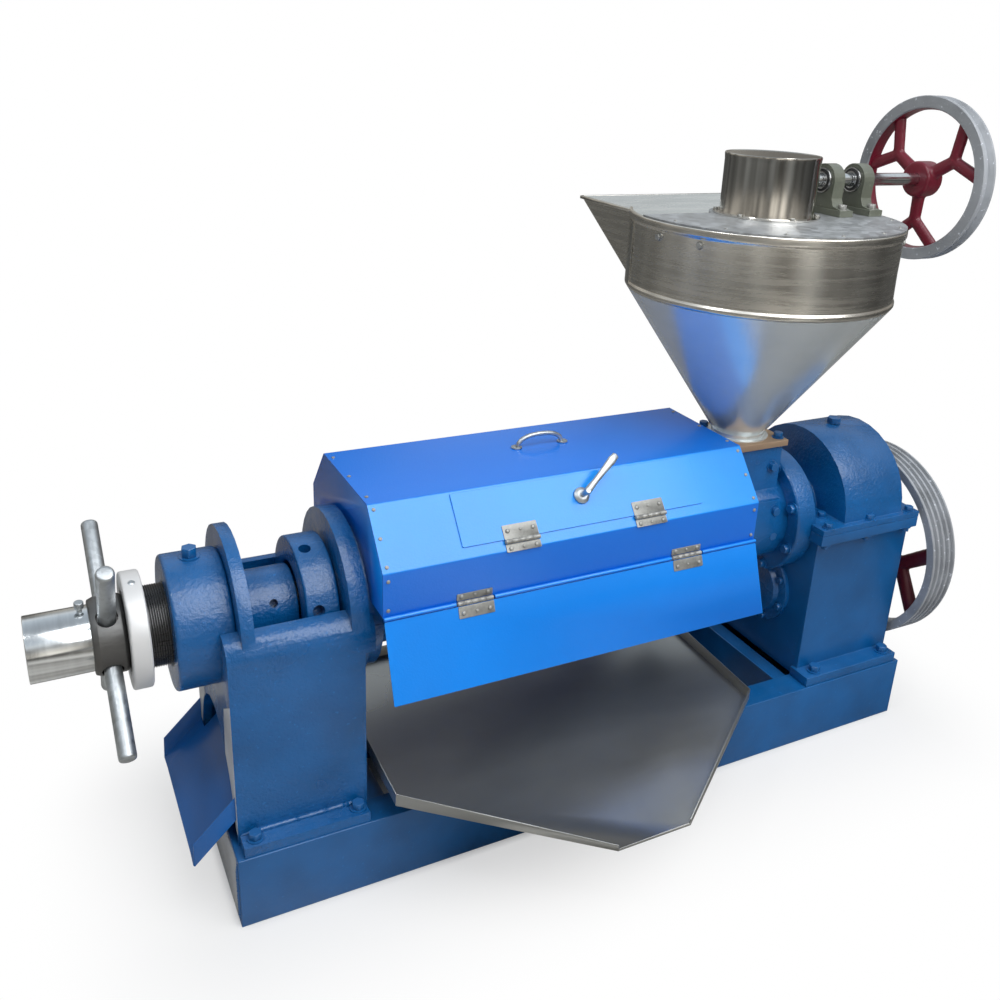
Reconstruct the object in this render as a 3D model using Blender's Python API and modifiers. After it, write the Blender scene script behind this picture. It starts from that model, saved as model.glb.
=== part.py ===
"""Screw oil press on a channel frame, with its feed hopper, cage, guard and gearbox.

X runs along the pressing screw from the cake end to the drive end, -Y is the
operator's side and Z is up. The ground is at z = 0. All sizes are in metres.
"""
import math

import bmesh
import bpy
from mathutils import Matrix, Vector

# Driving sizes of the whole machine
BASE_LENGTH = 1.650
BASE_HALF_WIDTH = 0.2135
BASE_HEIGHT = 0.154
SHAFT_HEIGHT = 0.547
BORE_RADIUS = 0.0855
SHEET = 0.0025
GAP = 0.0003
ROUND_STEPS = 24
LARGE_STEPS = 32

# Channel frame
CHANNEL_WEB = 0.008
CHANNEL_FLANGE = 0.065
FLANGE_THICK = 0.011
FRAME_TOP = BASE_HEIGHT + GAP
TIE_WIDTH = 0.040
TIE_INSET = 0.004

# Gearbox walls, which the drive end is placed from
BOX_X = (BASE_LENGTH - 0.298, BASE_LENGTH - 0.008)
BOX_HALF = BASE_HALF_WIDTH - 0.0475
BOX_WALL = 0.016
HOPPER_X = BOX_X[0] - 0.142

# Cage stand at the cake end
STAND_X = (0.011, 0.257)
STAND_HALF_WIDTH = BASE_HALF_WIDTH - 0.0415
STAND_TOP = SHAFT_HEIGHT + 0.028
SHOULDER_RADIUS = 0.040
SHOULDER_X = (0.150, 0.277)
SHOULDER_DEPTH = 0.070
FOOT_THICK = 0.022
FOOT_REACH = BASE_HALF_WIDTH - 0.003
FOOT_INSET = (0.003, 0.006)
FOOT_LAP = 0.012
RING_A_X = (0.040, 0.063)
RING_A_RADIUS = 0.165
RING_B_X = (0.234, 0.268)
RING_B_RADIUS = 0.168
TROUGH_RADIUS = 0.128
WALL = 0.014
HOLLOW_FRONT = 0.018
HOLLOW_TOP = SHAFT_HEIGHT - 0.147
ARCH_HALF = STAND_HALF_WIDTH - WALL
ARCH_RISE = SHAFT_HEIGHT - BASE_HEIGHT - 0.1955
DROP_X = (0.078, 0.222)
DROP_HALF = 0.090

# Cake adjusting gear
SCREW_RADIUS = 0.075
SCREW_BORE = 0.045
COLLAR_X = (-0.061, RING_A_X[0] - GAP)
COLLAR_RADIUS = 0.125
COLLAR_CHAMFER = 0.005
SET_BOLT_X = -0.012
SET_BOLT_RADIUS = 0.008
SET_BOLT_HEAD = (0.014, 0.016)
SET_BOLT_LIFT = 0.006
SET_BOLT_DEPTH = 0.028
SET_BOLT_SEAT = 0.017
LOCK_RING_X = (-0.131 + GAP, -0.097)
LOCK_RING_RADIUS = 0.106
LOCK_RING_CHAMFER = 0.004
HUB_X = (-0.187, -0.131)
HUB_RADIUS = 0.070
TUBE_START = -0.290
TUBE_RADIUS = 0.059
TUBE_SEAT = 0.010
TUBE_WALL = 0.004
BAR_X = -0.160
BAR_RADIUS = 0.016
BAR_EDGE = 0.002
BAR_REACH = (0.050, 0.232)
BAR_ANGLE = math.radians(55.0)
SLEEVE_X = (0.0355, 0.165)
SLEEVE_RADIUS = 0.070
SLEEVE_HOLE_X = 0.120
SLEEVE_HOLE = 0.008
SLEEVE_ANGLE = math.radians(28.0)
SPANNER_X = (0.166, 0.228)
SPANNER_RADIUS = 0.122
SPANNER_BORE = 0.0735
SPANNER_NECK = 0.098
SPANNER_CHAMFER = 0.004
SPANNER_HOLE = 0.011
SPANNER_HOLE_X = 0.188
SPANNER_ANGLE = math.radians(15.0)

# Feed housing and hopper
FEED_X = (HOPPER_X - 0.098, BOX_X[0] - 0.0533)
FEED_RADIUS = 0.114
FEED_BLOCK_X = (HOPPER_X - 0.084, HOPPER_X + 0.069)
FEED_BLOCK_Z = (SHAFT_HEIGHT - 0.043, SHAFT_HEIGHT + 0.068)
FEED_BLOCK_HALF = 0.100
THROAT_X = (HOPPER_X - 0.062, HOPPER_X + 0.076)
THROAT_HALF = 0.073
THROAT_TOP = SHAFT_HEIGHT + 0.1915
THROAT_LAP = 0.053
PLATE_THICK = 0.014
PLATE_REACH = (0.006, 0.008)
OUTLET_RADIUS = 0.060
PASSAGE_RADIUS = OUTLET_RADIUS - 0.006
OUTLET_FLANGE = 0.010
OUTLET_NECK = 0.012
CONE_BOTTOM = THROAT_TOP + PLATE_THICK + 2 * GAP
CONE_TOP = THROAT_TOP + 0.3455
DRUM_RADIUS = 0.284
DRUM_TOP = CONE_TOP + 0.161
RIM_RADIUS = 0.289
RIM_HEIGHT = 0.017
SPOUT_HALF = 0.229
SPOUT_TIP = (0.386, DRUM_TOP - 0.005)
SPOUT_ROOT = (0.166, CONE_TOP + 0.018)
LID_REAR = 0.043
LID_THICK = 0.003
LID_INSET = 0.002
LID_TOP = DRUM_TOP + GAP + LID_THICK
AGITATOR_LIFT = 0.0707
AGITATOR_HEIGHT = LID_TOP + AGITATOR_LIFT
CAN_RADIUS = 0.100
CAN_TOP = AGITATOR_HEIGHT + 0.054
CAN_WALL = 0.003
CAN_BEAD = 0.004
CAN_FLANGE = 0.112
CAN_SEAT = 0.008
PILLOW_CENTRES = (HOPPER_X + 0.163, HOPPER_X + 0.249)
PILLOW_RADIUS = 0.035
PILLOW_HALF = (0.019, 0.068)
PILLOW_FOOT = 0.015
PILLOW_NECK = (0.012, 0.030)
PILLOW_BOSS = 0.015
AGITATOR_SHAFT = 0.014
AGITATOR_X = (HOPPER_X + 0.020, HOPPER_X + 0.483)
STIRRER_RADIUS = 0.012
STIRRER_FOOT = CONE_BOTTOM + 0.047
STIRRER_TOP = AGITATOR_HEIGHT - 0.0205
STIRRER_ARM = 0.008
STIRRER_REACH = ((0.107, 0.075), (0.197, 0.125), (0.297, 0.185))
STIRRER_TWIST_ANGLE = math.radians(60.0)
BEVEL_TEETH = (10, 20)
BEVEL_CONE = (0.041, 0.060)
BEVEL_BOSS = 0.012
BEVEL_FRONT = 0.003

# Press barrel
BARREL_X = (RING_B_X[1] + GAP, FEED_X[0] - GAP)
BARREL_RADIUS = 0.118
BARREL_FLANGE_RADIUS = 0.153
BARREL_FLANGE = 0.031
JOINT_REACH = 0.148
JOINT_THICK = 0.018
JOINT_INSET = 0.010
RIB_RADIUS = 0.132
RIB_WIDTH = 0.022
RIB_COUNT = 4
RIB_PITCH = (BARREL_X[1] - BARREL_X[0]) / (RIB_COUNT + 1)
SLOT = (RIB_PITCH * 0.65, 0.006)
SLOT_RADIUS = (0.072, 0.132)
SLOT_ROW_ANGLES = (-32.0, 0.0, 32.0)

# Shaft and worms
SHAFT_RADIUS = 0.032
JOURNAL_RADIUS = 0.045
SHAFT_CHAMFER = 0.003
SHAFT_X = (0.066, BOX_X[0] + 0.226)
JOURNAL_START = FEED_X[1] - 0.0232
WORM_RADIUS = 0.0843
RING_POINTS = 12
LOBE_ANGLE = math.radians(60.0)
WORM_STEPS = 12
CONE_X = (0.2725, 0.410)
CONE_RADII = (0.070, 0.072)
FEED_WORM_END = JOURNAL_START - GAP
WORM_SHARES = (0.1734, 0.1907, 0.2115, 0.2311)
WORM_ROOTS = (0.064, 0.060, 0.056, 0.052, 0.048, 0.046)

# Gearbox
SPLIT_X = (BOX_X[0] - 0.014, BOX_X[1])
SPLIT_HALF = BASE_HALF_WIDTH - 0.0225
SPLIT_BELOW = 0.025
SPLIT_ABOVE = 0.0155
DOME_X = (BOX_X[0] + 0.062, BOX_X[0] + 0.243)
DOME_RADIUS = SPLIT_HALF - 0.014
DOME_WALL = 0.012
DOME_SADDLE = 0.085
PLUG_X = (DOME_X[0] + DOME_X[1]) / 2 + 0.006
PLUG_HEAD = (0.0165, 0.014)
PLUG_STEM = 0.0099
BOX_FOOT_X = (BOX_X[0] - 0.007, BOX_X[1] - 0.005)
BOX_FOOT_THICK = 0.024
BOX_FOOT_LAP = 0.016
BEARING_X = (FEED_X[1] + GAP, BOX_X[0] - GAP)
BEARING_RADIUS = 0.150
BEARING_CHAMFER = (0.004, 0.002)
GEAR_MODULE = 0.006
BULL_TEETH = 36
PINION_TEETH = 12
BULL_TOOTH_SHARES = (0.6667, 1.2)
PINION_TOOTH_SHARES = (0.9167, 0.9333)
INPUT_HEIGHT = SHAFT_HEIGHT - GEAR_MODULE * (BULL_TEETH + PINION_TEETH) / 2
INPUT_RADIUS = 0.022
INPUT_X = (BOX_X[0] + 0.076, BOX_X[1] + 0.098)
BULL_X = (BOX_X[0] + 0.113, BOX_X[0] + 0.168)
PINION_X = (BOX_X[0] + 0.108, BOX_X[0] + 0.173)
CAP_RADIUS = 0.094
CAP_CENTRE = (-0.010, INPUT_HEIGHT - 0.063)
CAP_THICK = 0.026
CAP_STEP = (0.014, 0.012)
CAP_BOSS = (0.070, 0.066)
SEAL_RADIUS = 0.075
SEAL_THICK = 0.012

# Belt pulleys
MAIN_PULLEY_X = (BOX_X[1] + 0.015, BOX_X[1] + 0.090)
MAIN_PULLEY_RADIUS = 0.2525
MAIN_RIM = 0.021
MAIN_HUB = 0.044
GROOVES = 4
GROOVE_DEPTH = 0.011
GROOVE_LAND = 0.006
MAIN_ARM_ANGLE = math.radians(-11.5)
SMALL_PULLEY_X = (HOPPER_X + 0.430, HOPPER_X + 0.468)
SMALL_PULLEY_RADIUS = 0.182
SMALL_RIM = 0.019
SMALL_HUB = 0.033
SMALL_GROOVE = (0.011, 0.005, 0.010)
SMALL_ARM_ANGLE = math.radians(30.0)
FORK_ANGLE = math.radians(24.0)

# Sheet guard over the barrel
GUARD_X = (RING_B_X[1] + 0.0075, FEED_X[0] - 0.003)
GUARD_TOP = (BASE_HALF_WIDTH - 0.0825, SHAFT_HEIGHT + 0.235)
GUARD_FOLD = (BASE_HALF_WIDTH + GAP, SHAFT_HEIGHT + 0.136)
GUARD_SIDE_FOOT = SHAFT_HEIGHT + 0.049
FLAP_FOOT = (BASE_HALF_WIDTH + 0.0595, SHAFT_HEIGHT - 0.098)
DOOR_X = (GUARD_X[0] + 0.1565, GUARD_X[1] - 0.140)
DOOR_FOOT = 0.021
DOOR_HEAD = 0.124
DOOR_LAP = 0.012
HINGE_PIN = 0.0045
HINGE_LENGTH = 0.072
HINGE_LEAF = 0.018
LEAF_THICK = 0.002
DOOR_WIDTH = DOOR_X[1] - DOOR_X[0]
DOOR_HINGES = (DOOR_X[0] + DOOR_WIDTH * 0.2235, DOOR_X[1] - DOOR_WIDTH * 0.244)
GUARD_LENGTH = GUARD_X[1] - GUARD_X[0]
FLAP_HINGES = (GUARD_X[0] + GUARD_LENGTH * 0.213, GUARD_X[1] - GUARD_LENGTH * 0.2148)
LATCH_X = (DOOR_X[0] + DOOR_X[1]) / 2 - 0.0025
LATCH_UP = 0.079
LATCH_HOLE = 0.0063
LATCH_ROSE = (0.017, 0.008)
LATCH_STEM = (0.006, 0.034)
LATCH_CAM = (0.044, 0.009, 0.003)
LATCH_CAM_DEPTH = 0.008
LEVER_ROOT = 0.030
LEVER_LENGTH = 0.100
LEVER_RADII = (0.0060, 0.0085)
HANDLE_PLACE = ((GUARD_X[0] + GUARD_X[1]) / 2 + 0.012, 0.022)
HANDLE_WIRE = 0.005
HANDLE_BOW = ((0.050, 0.0), (0.050, 0.012), (0.036, 0.026), (0.018, 0.030))

# Oil pan and cake chute
PAN_SIDE_X = (GUARD_X[0] + 0.0095, GUARD_X[1] + 0.005)
PAN_MIDDLE = (PAN_SIDE_X[0] + PAN_SIDE_X[1]) / 2
PAN_LIP_X = (PAN_MIDDLE - 0.0875, PAN_MIDDLE + 0.0685)
PAN_Y = (0.185, -0.262, -0.520)
PAN_REAR_HEIGHT = BASE_HEIGHT + 0.090
PAN_SLOPE_RATIO = 0.045
PAN_WALL = 0.024
PAN_LIP_WALL = 0.010
PAN_SHEET = 0.003
PAN_REST = 0.026
PAN_REST_X = (PAN_SIDE_X[0] + 0.060, PAN_SIDE_X[1] - 0.049)
CHUTE_LIP = (-0.068, BASE_HEIGHT - 0.024)
CHUTE_HALF = BASE_HALF_WIDTH - 0.0475
CHUTE_TOP = (STAND_X[0] + 0.139, HOLLOW_TOP - 0.052)
CHUTE_SLOPE_RATIO = (CHUTE_TOP[1] - CHUTE_LIP[1]) / (CHUTE_TOP[0] - CHUTE_LIP[0])
CHUTE_RUN = STAND_X[0] + HOLLOW_FRONT - CHUTE_LIP[0]
CHUTE_RISE = CHUTE_LIP[1] - BASE_HEIGHT + CHUTE_RUN * CHUTE_SLOPE_RATIO + 2 * SHEET
CHUTE_CLEARANCE = 0.0152
CHUTE_TONGUE = ARCH_HALF * math.sqrt(1 - (CHUTE_RISE / ARCH_RISE) ** 2) - CHUTE_CLEARANCE
CHUTE_WALL = 0.050

# Paints and metals: base colour, roughness, metallic
CASTING_BLUE = ((0.022, 0.098, 0.262), 0.45, 0.0)
GUARD_BLUE = ((0.030, 0.200, 0.720), 0.30, 0.0)
CHROME = ((0.780, 0.780, 0.760), 0.10, 1.0)
DARK_STEEL = ((0.120, 0.110, 0.100), 0.50, 0.8)
ZINC = ((0.560, 0.560, 0.540), 0.38, 0.9)
SILVER_PAINT = ((0.600, 0.600, 0.600), 0.42, 0.5)
WORM_STEEL = ((0.260, 0.250, 0.240), 0.40, 0.9)
STAINLESS = ((0.600, 0.580, 0.550), 0.24, 1.0)
GALVANISED = ((0.520, 0.530, 0.530), 0.46, 0.8)
PAN_STEEL = ((0.250, 0.250, 0.240), 0.34, 0.9)
RAW_PLATE = ((0.340, 0.210, 0.130), 0.80, 0.0)
OLIVE = ((0.120, 0.135, 0.090), 0.50, 0.0)
CRIMSON = ((0.230, 0.020, 0.045), 0.40, 0.0)

PRESS = "screw_oil_press"
CUTTERS = "construction_shapes"


def clear_scene():
    """Empty the file and make the two collections."""
    for item in list(bpy.data.objects):
        bpy.data.objects.remove(item, do_unlink=True)
    for name in (PRESS, CUTTERS):
        group = bpy.data.collections.new(name)
        bpy.context.scene.collection.children.link(group)


def add_object(name, data, location=(0, 0, 0), rotation=(0, 0, 0)):
    """Place a mesh or curve as an object of the press."""
    item = bpy.data.objects.new(name, data)
    item.location = location
    item.rotation_euler = rotation
    bpy.data.collections[PRESS].objects.link(item)
    return item


def mesh_from(name, bm):
    """Turn a bmesh into mesh data with outward normals."""
    bmesh.ops.recalc_face_normals(bm, faces=bm.faces)
    data = bpy.data.meshes.new(name)
    bm.to_mesh(data)
    bm.free()
    return data


def paint(item, finish):
    """Give an object its own material of one finish."""
    colour, roughness, metallic = finish
    skin = bpy.data.materials.new(item.name + "_finish")
    skin.use_nodes = True
    shader = skin.node_tree.nodes["Principled BSDF"]
    shader.inputs["Base Color"].default_value = (*colour, 1.0)
    shader.inputs["Roughness"].default_value = roughness
    shader.inputs["Metallic"].default_value = metallic
    skin.diffuse_color = (*colour, 1.0)
    item.data.materials.clear()
    item.data.materials.append(skin)
    return item


def smooth(item, degrees=35.0):
    """Shade round faces smooth and keep real edges sharp."""
    item.data.shade_smooth()
    item.data.set_sharp_from_angle(angle=math.radians(degrees))
    return item


def clear(radius, steps=ROUND_STEPS):
    """Radius of a faceted bore whose flats clear a round bar by the gap."""
    return (radius + GAP) / math.cos(math.pi / steps)


def block(name, x, y, z):
    """Box between two limits on each axis."""
    limits = (x, y, z)
    bm = bmesh.new()
    bmesh.ops.create_cube(bm, size=1.0)
    bmesh.ops.scale(bm, vec=[max(pair) - min(pair) for pair in limits], verts=bm.verts)
    return add_object(name, mesh_from(name, bm), [sum(pair) / 2 for pair in limits])


def rod(name, radius, start, end, steps=ROUND_STEPS, tip_radius=None):
    """Round bar from one point to another."""
    start, end = Vector(start), Vector(end)
    along = end - start
    bm = bmesh.new()
    bmesh.ops.create_cone(bm, cap_ends=True, segments=steps, radius1=radius,
                          radius2=tip_radius or radius, depth=along.length)
    item = add_object(name, mesh_from(name, bm), (start + end) / 2)
    item.rotation_euler = along.to_track_quat("Z", "Y").to_euler()
    return smooth(item)


def x_rod(name, radius, x, y=0.0, z=SHAFT_HEIGHT, steps=ROUND_STEPS):
    """Round bar along X."""
    return rod(name, radius, (x[0], y, z), (x[1], y, z), steps)


def turned(name, profile, location, along_x=True, closed=True, steps=ROUND_STEPS):
    """Turned shape from (radius, height) pairs running down the outer side."""
    bm = bmesh.new()
    points = [bm.verts.new((radius, 0.0, height)) for radius, height in profile]
    for first, second in zip(points, points[1:]):
        bm.edges.new((first, second))
    if closed:
        bm.edges.new((points[-1], points[0]))
    data = bpy.data.meshes.new(name)
    bm.to_mesh(data)
    bm.free()
    item = add_object(name, data, location)
    if along_x:
        item.rotation_euler = (0.0, math.pi / 2, 0.0)
    screw = item.modifiers.new("turn", "SCREW")
    screw.axis = "Z"
    screw.angle = math.tau
    screw.steps = steps
    screw.render_steps = steps
    screw.use_merge_vertices = True
    screw.merge_threshold = 0.00001
    screw.use_smooth_shade = False
    return item


def ring(name, radius, bore, x, y=0.0, z=SHAFT_HEIGHT, chamfer=0.0, steps=ROUND_STEPS):
    """Plain ring along X, with chamfered outer edges where a chamfer is given."""
    half = (x[1] - x[0]) / 2
    if chamfer:
        edge = [(radius - chamfer, half), (radius, half - chamfer), (radius, chamfer - half),
                (radius - chamfer, -half)]
    else:
        edge = [(radius, half), (radius, -half)]
    profile = [(bore, half), *edge, (bore, -half)]
    return turned(name, profile, ((x[0] + x[1]) / 2, y, z), steps=steps)


def outline(name, points, thickness, location=(0, 0, 0), rotation=(0, 0, 0)):
    """Flat outline of (u, v) pairs given a thickness."""
    bm = bmesh.new()
    face = bm.faces.new([bm.verts.new((u, v, -thickness / 2)) for u, v in points])
    pushed = bmesh.ops.extrude_face_region(bm, geom=[face])
    top = [v for v in pushed["geom"] if isinstance(v, bmesh.types.BMVert)]
    bmesh.ops.translate(bm, vec=(0, 0, thickness), verts=top)
    return add_object(name, mesh_from(name, bm), location, rotation)


def section(name, points, x):
    """Outline of (y, z) pairs drawn out along X between two limits."""
    turn = Matrix(((0, 0, 1), (1, 0, 0), (0, 1, 0))).to_euler()
    return outline(name, points, x[1] - x[0], ((x[0] + x[1]) / 2, 0, 0), turn)


def sheet(name, points, faces, thickness):
    """Folded sheet from points and faces, thickened inwards."""
    bm = bmesh.new()
    verts = [bm.verts.new(point) for point in points]
    for face in faces:
        bm.faces.new([verts[index] for index in face])
    data = bpy.data.meshes.new(name)
    bm.to_mesh(data)
    bm.free()
    item = add_object(name, data)
    skin = item.modifiers.new("thickness", "SOLIDIFY")
    skin.thickness = thickness
    skin.offset = -1.0
    skin.use_even_offset = True
    return item


def ring_loft(name, rings, location=(0, 0, 0)):
    """Closed solid through equal rings of points, the last joined to the first."""
    bm = bmesh.new()
    rows = [[bm.verts.new(point) for point in points] for points in rings]
    for row, following in zip(rows, rows[1:] + rows[:1]):
        count = len(row)
        for index in range(count):
            after = (index + 1) % count
            bm.faces.new((row[index], row[after], following[after], following[index]))
    return add_object(name, mesh_from(name, bm), location)


def combine(item, operation, *tools):
    """Join shapes to an object or cut them from it."""
    for tool in tools:
        step = item.modifiers.new(tool.name, "BOOLEAN")
        step.operation = operation
        step.solver = "EXACT"
        step.object = tool
        tool.hide_render = True
        tool.display_type = "WIRE"
        for group in list(tool.users_collection):
            group.objects.unlink(tool)
        bpy.data.collections[CUTTERS].objects.link(tool)
    return item


def join(item, *tools):
    """Add shapes to an object."""
    return combine(item, "UNION", *tools)


def cut(item, *tools):
    """Cut shapes from an object."""
    return combine(item, "DIFFERENCE", *tools)


def slope_point(up, out=0.0):
    """(y, z) on the guard's front slope, measured up from its lower fold."""
    rise = Vector((GUARD_FOLD[0] - GUARD_TOP[0], GUARD_TOP[1] - GUARD_FOLD[1])).normalized()
    normal = Vector((-rise.y, rise.x))
    return Vector((-GUARD_FOLD[0], GUARD_FOLD[1])) + up * rise + out * normal


def flap_point(down, out=0.0):
    """(y, z) on the middle of the hanging front flap, measured down from its pins."""
    axis = flap_axis()
    fall = (Vector((-FLAP_FOOT[0], FLAP_FOOT[1])) - axis).normalized()
    normal = Vector((fall.y, -fall.x))
    return axis + down * fall + out * normal


def flap_axis():
    """(y, z) of the pins that carry the front flap."""
    return Vector((-GUARD_FOLD[0] - HINGE_PIN - GAP, GUARD_SIDE_FOOT))


def pan_level(y):
    """Height of the oil pan's floor, which falls towards the front."""
    return PAN_REAR_HEIGHT - PAN_SLOPE_RATIO * (PAN_Y[0] - y)


def make_base():
    """Channel frame with a web all round, open in the middle, and four pan rests."""
    y = (-BASE_HALF_WIDTH, BASE_HALF_WIDTH)
    frame = block("base_frame", (0, BASE_LENGTH), y, (0, BASE_HEIGHT))
    inner = BASE_HALF_WIDTH - CHANNEL_WEB
    hollow = block("frame_hollow", (CHANNEL_WEB, BASE_LENGTH - CHANNEL_WEB), (-inner, inner),
                   (FLANGE_THICK, BASE_HEIGHT - FLANGE_THICK))
    clear = BASE_HALF_WIDTH - CHANNEL_FLANGE
    window = block("frame_window", (CHANNEL_FLANGE, BASE_LENGTH - CHANNEL_FLANGE), (-clear, clear),
                   (-0.01, BASE_HEIGHT + 0.01))
    cut(frame, hollow, window)
    starts = (STAND_X[1] + 0.005, BOX_X[0] - 0.012 - TIE_WIDTH)
    reach = inner + CHANNEL_WEB / 4
    for index, x in enumerate(starts):
        tie = block(f"cross_member_{index + 1}", (x, x + TIE_WIDTH), (-reach, reach),
                    (TIE_INSET, BASE_HEIGHT - TIE_INSET))
        join(frame, tie)
    side = BASE_HALF_WIDTH - CHANNEL_FLANGE / 2
    half = PAN_REST / 2
    rear = side - CHANNEL_WEB
    for index, (x, y) in enumerate((x, y) for x in PAN_REST_X for y in (-side, rear)):
        top = pan_level(y - half) - PAN_SHEET - 2 * GAP
        rest = block(f"pan_rest_{index + 1}", (x - half, x + half), (y - half, y + half),
                     (BASE_HEIGHT - TIE_INSET, top))
        join(frame, rest)
    return paint(frame, CASTING_BLUE)


def shouldered(name, half, low, x):
    """Upright body with rounded top corners, seen along X."""
    points = [(-half, low)]
    for index in range(7):
        turn = math.radians(15.0 * index)
        points.append((-half + SHOULDER_RADIUS * (1 - math.cos(turn)),
                       STAND_TOP - SHOULDER_RADIUS * (1 - math.sin(turn))))
    points += [(-y, z) for y, z in reversed(points)]
    return section(name, points, x)


def make_stand():
    """Cast stand: two flange rings over a hollow arched body with bolted feet."""
    stand = shouldered("cage_stand", STAND_HALF_WIDTH, FRAME_TOP, STAND_X)
    shoulders = shouldered("stand_shoulders", STAND_HALF_WIDTH, STAND_TOP - SHOULDER_DEPTH,
                           SHOULDER_X)
    ring_a = x_rod("stand_ring_a", RING_A_RADIUS, RING_A_X, steps=LARGE_STEPS)
    ring_b = x_rod("stand_ring_b", RING_B_RADIUS, RING_B_X, steps=LARGE_STEPS)
    join(stand, shoulders, ring_a, ring_b)
    for side in (-1, 1):
        foot = block(f"stand_foot_{side}", (STAND_X[0] + FOOT_INSET[0], STAND_X[1] - FOOT_INSET[1]),
                     (side * (STAND_HALF_WIDTH - FOOT_LAP), side * FOOT_REACH),
                     (FRAME_TOP, BASE_HEIGHT + FOOT_THICK))
        join(stand, foot)
    saddle = x_rod("collar_saddle", clear(COLLAR_RADIUS), (COLLAR_X[0], RING_A_X[0]),
                   steps=LARGE_STEPS)
    trough = x_rod("stand_trough", TROUGH_RADIUS, (RING_A_X[1], RING_B_X[0]), steps=LARGE_STEPS)
    bore_a = x_rod("ring_a_bore", clear(SLEEVE_RADIUS), (COLLAR_X[0], RING_B_X[0]))
    bore_b = x_rod("ring_b_bore", SPANNER_BORE, (RING_A_X[1], RING_B_X[1] + WALL))
    half = STAND_HALF_WIDTH - WALL
    hollow = block("stand_hollow", (STAND_X[0] + HOLLOW_FRONT, STAND_X[1] - WALL), (-half, half),
                   (FRAME_TOP - WALL, HOLLOW_TOP))
    arch = x_rod("stand_arch", ARCH_HALF, (COLLAR_X[0], STAND_X[0] + 2 * HOLLOW_FRONT), z=BASE_HEIGHT)
    arch.scale = (1.0, ARCH_RISE / ARCH_HALF, 1.0)
    drop = block("cake_drop", DROP_X, (-DROP_HALF, DROP_HALF), (HOLLOW_TOP - WALL, HOLLOW_TOP + 0.100))
    seat = x_rod("barrel_seat", BARREL_FLANGE_RADIUS + GAP, (RING_B_X[1], SHOULDER_X[1] + WALL),
                 steps=ROUND_STEPS)
    return paint(cut(stand, saddle, trough, bore_a, bore_b, hollow, stretched(arch), drop, seat),
                 CASTING_BLUE)


def stretched(item):
    """Apply an object's scale to its mesh."""
    item.data.transform(Matrix.Diagonal((*item.scale, 1.0)))
    item.scale = (1.0, 1.0, 1.0)
    return item


def make_chute():
    """Sloping sheet chute from inside the stand out over the frame's end."""
    lip_x, lip_z = CHUTE_LIP
    wall_x = STAND_X[0] - GAP
    wall_z = lip_z + (wall_x - lip_x) * CHUTE_SLOPE_RATIO
    top_x, top_z = CHUTE_TOP
    points = []
    for x, z in ((lip_x, lip_z), (wall_x, wall_z)):
        points += [(x, -CHUTE_HALF, z + CHUTE_WALL), (x, -CHUTE_HALF, z), (x, -CHUTE_TONGUE, z),
                   (x, CHUTE_TONGUE, z), (x, CHUTE_HALF, z), (x, CHUTE_HALF, z + CHUTE_WALL)]
    points += [(top_x, -CHUTE_TONGUE, top_z), (top_x, CHUTE_TONGUE, top_z)]
    faces = [(index, index + 1, index + 7, index + 6) for index in range(5)]
    faces.append((8, 9, 13, 12))
    chute = sheet("cake_chute", points, faces, SHEET)
    return paint(chute, CASTING_BLUE)


def make_collar():
    """Fixed nut that the adjusting screw turns in, with its set bolt."""
    collar = ring("nut_collar", COLLAR_RADIUS, clear(SCREW_RADIUS), COLLAR_X, chamfer=COLLAR_CHAMFER)
    x = SET_BOLT_X
    top = SHAFT_HEIGHT + COLLAR_RADIUS
    above = top + SET_BOLT_SEAT
    foot = top - SET_BOLT_DEPTH
    below = foot - SET_BOLT_RADIUS
    socket = rod("set_bolt_socket", SET_BOLT_RADIUS + GAP, (x, 0, below), (x, 0, above), 16)
    seat = rod("set_bolt_seat", SET_BOLT_SEAT, (x, 0, top - COLLAR_CHAMFER / 2), (x, 0, above), 24)
    cut(collar, socket, seat)
    radius, height = SET_BOLT_HEAD
    low = top + SET_BOLT_LIFT
    bolt = rod("collar_set_bolt", radius, (x, 0, low), (x, 0, low + height), 6)
    shank = rod("set_bolt_shank", SET_BOLT_RADIUS, (x, 0, foot), (x, 0, low + height / 4), 16)
    join(bolt, shank)
    return paint(collar, CASTING_BLUE), paint(bolt, CASTING_BLUE)


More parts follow.
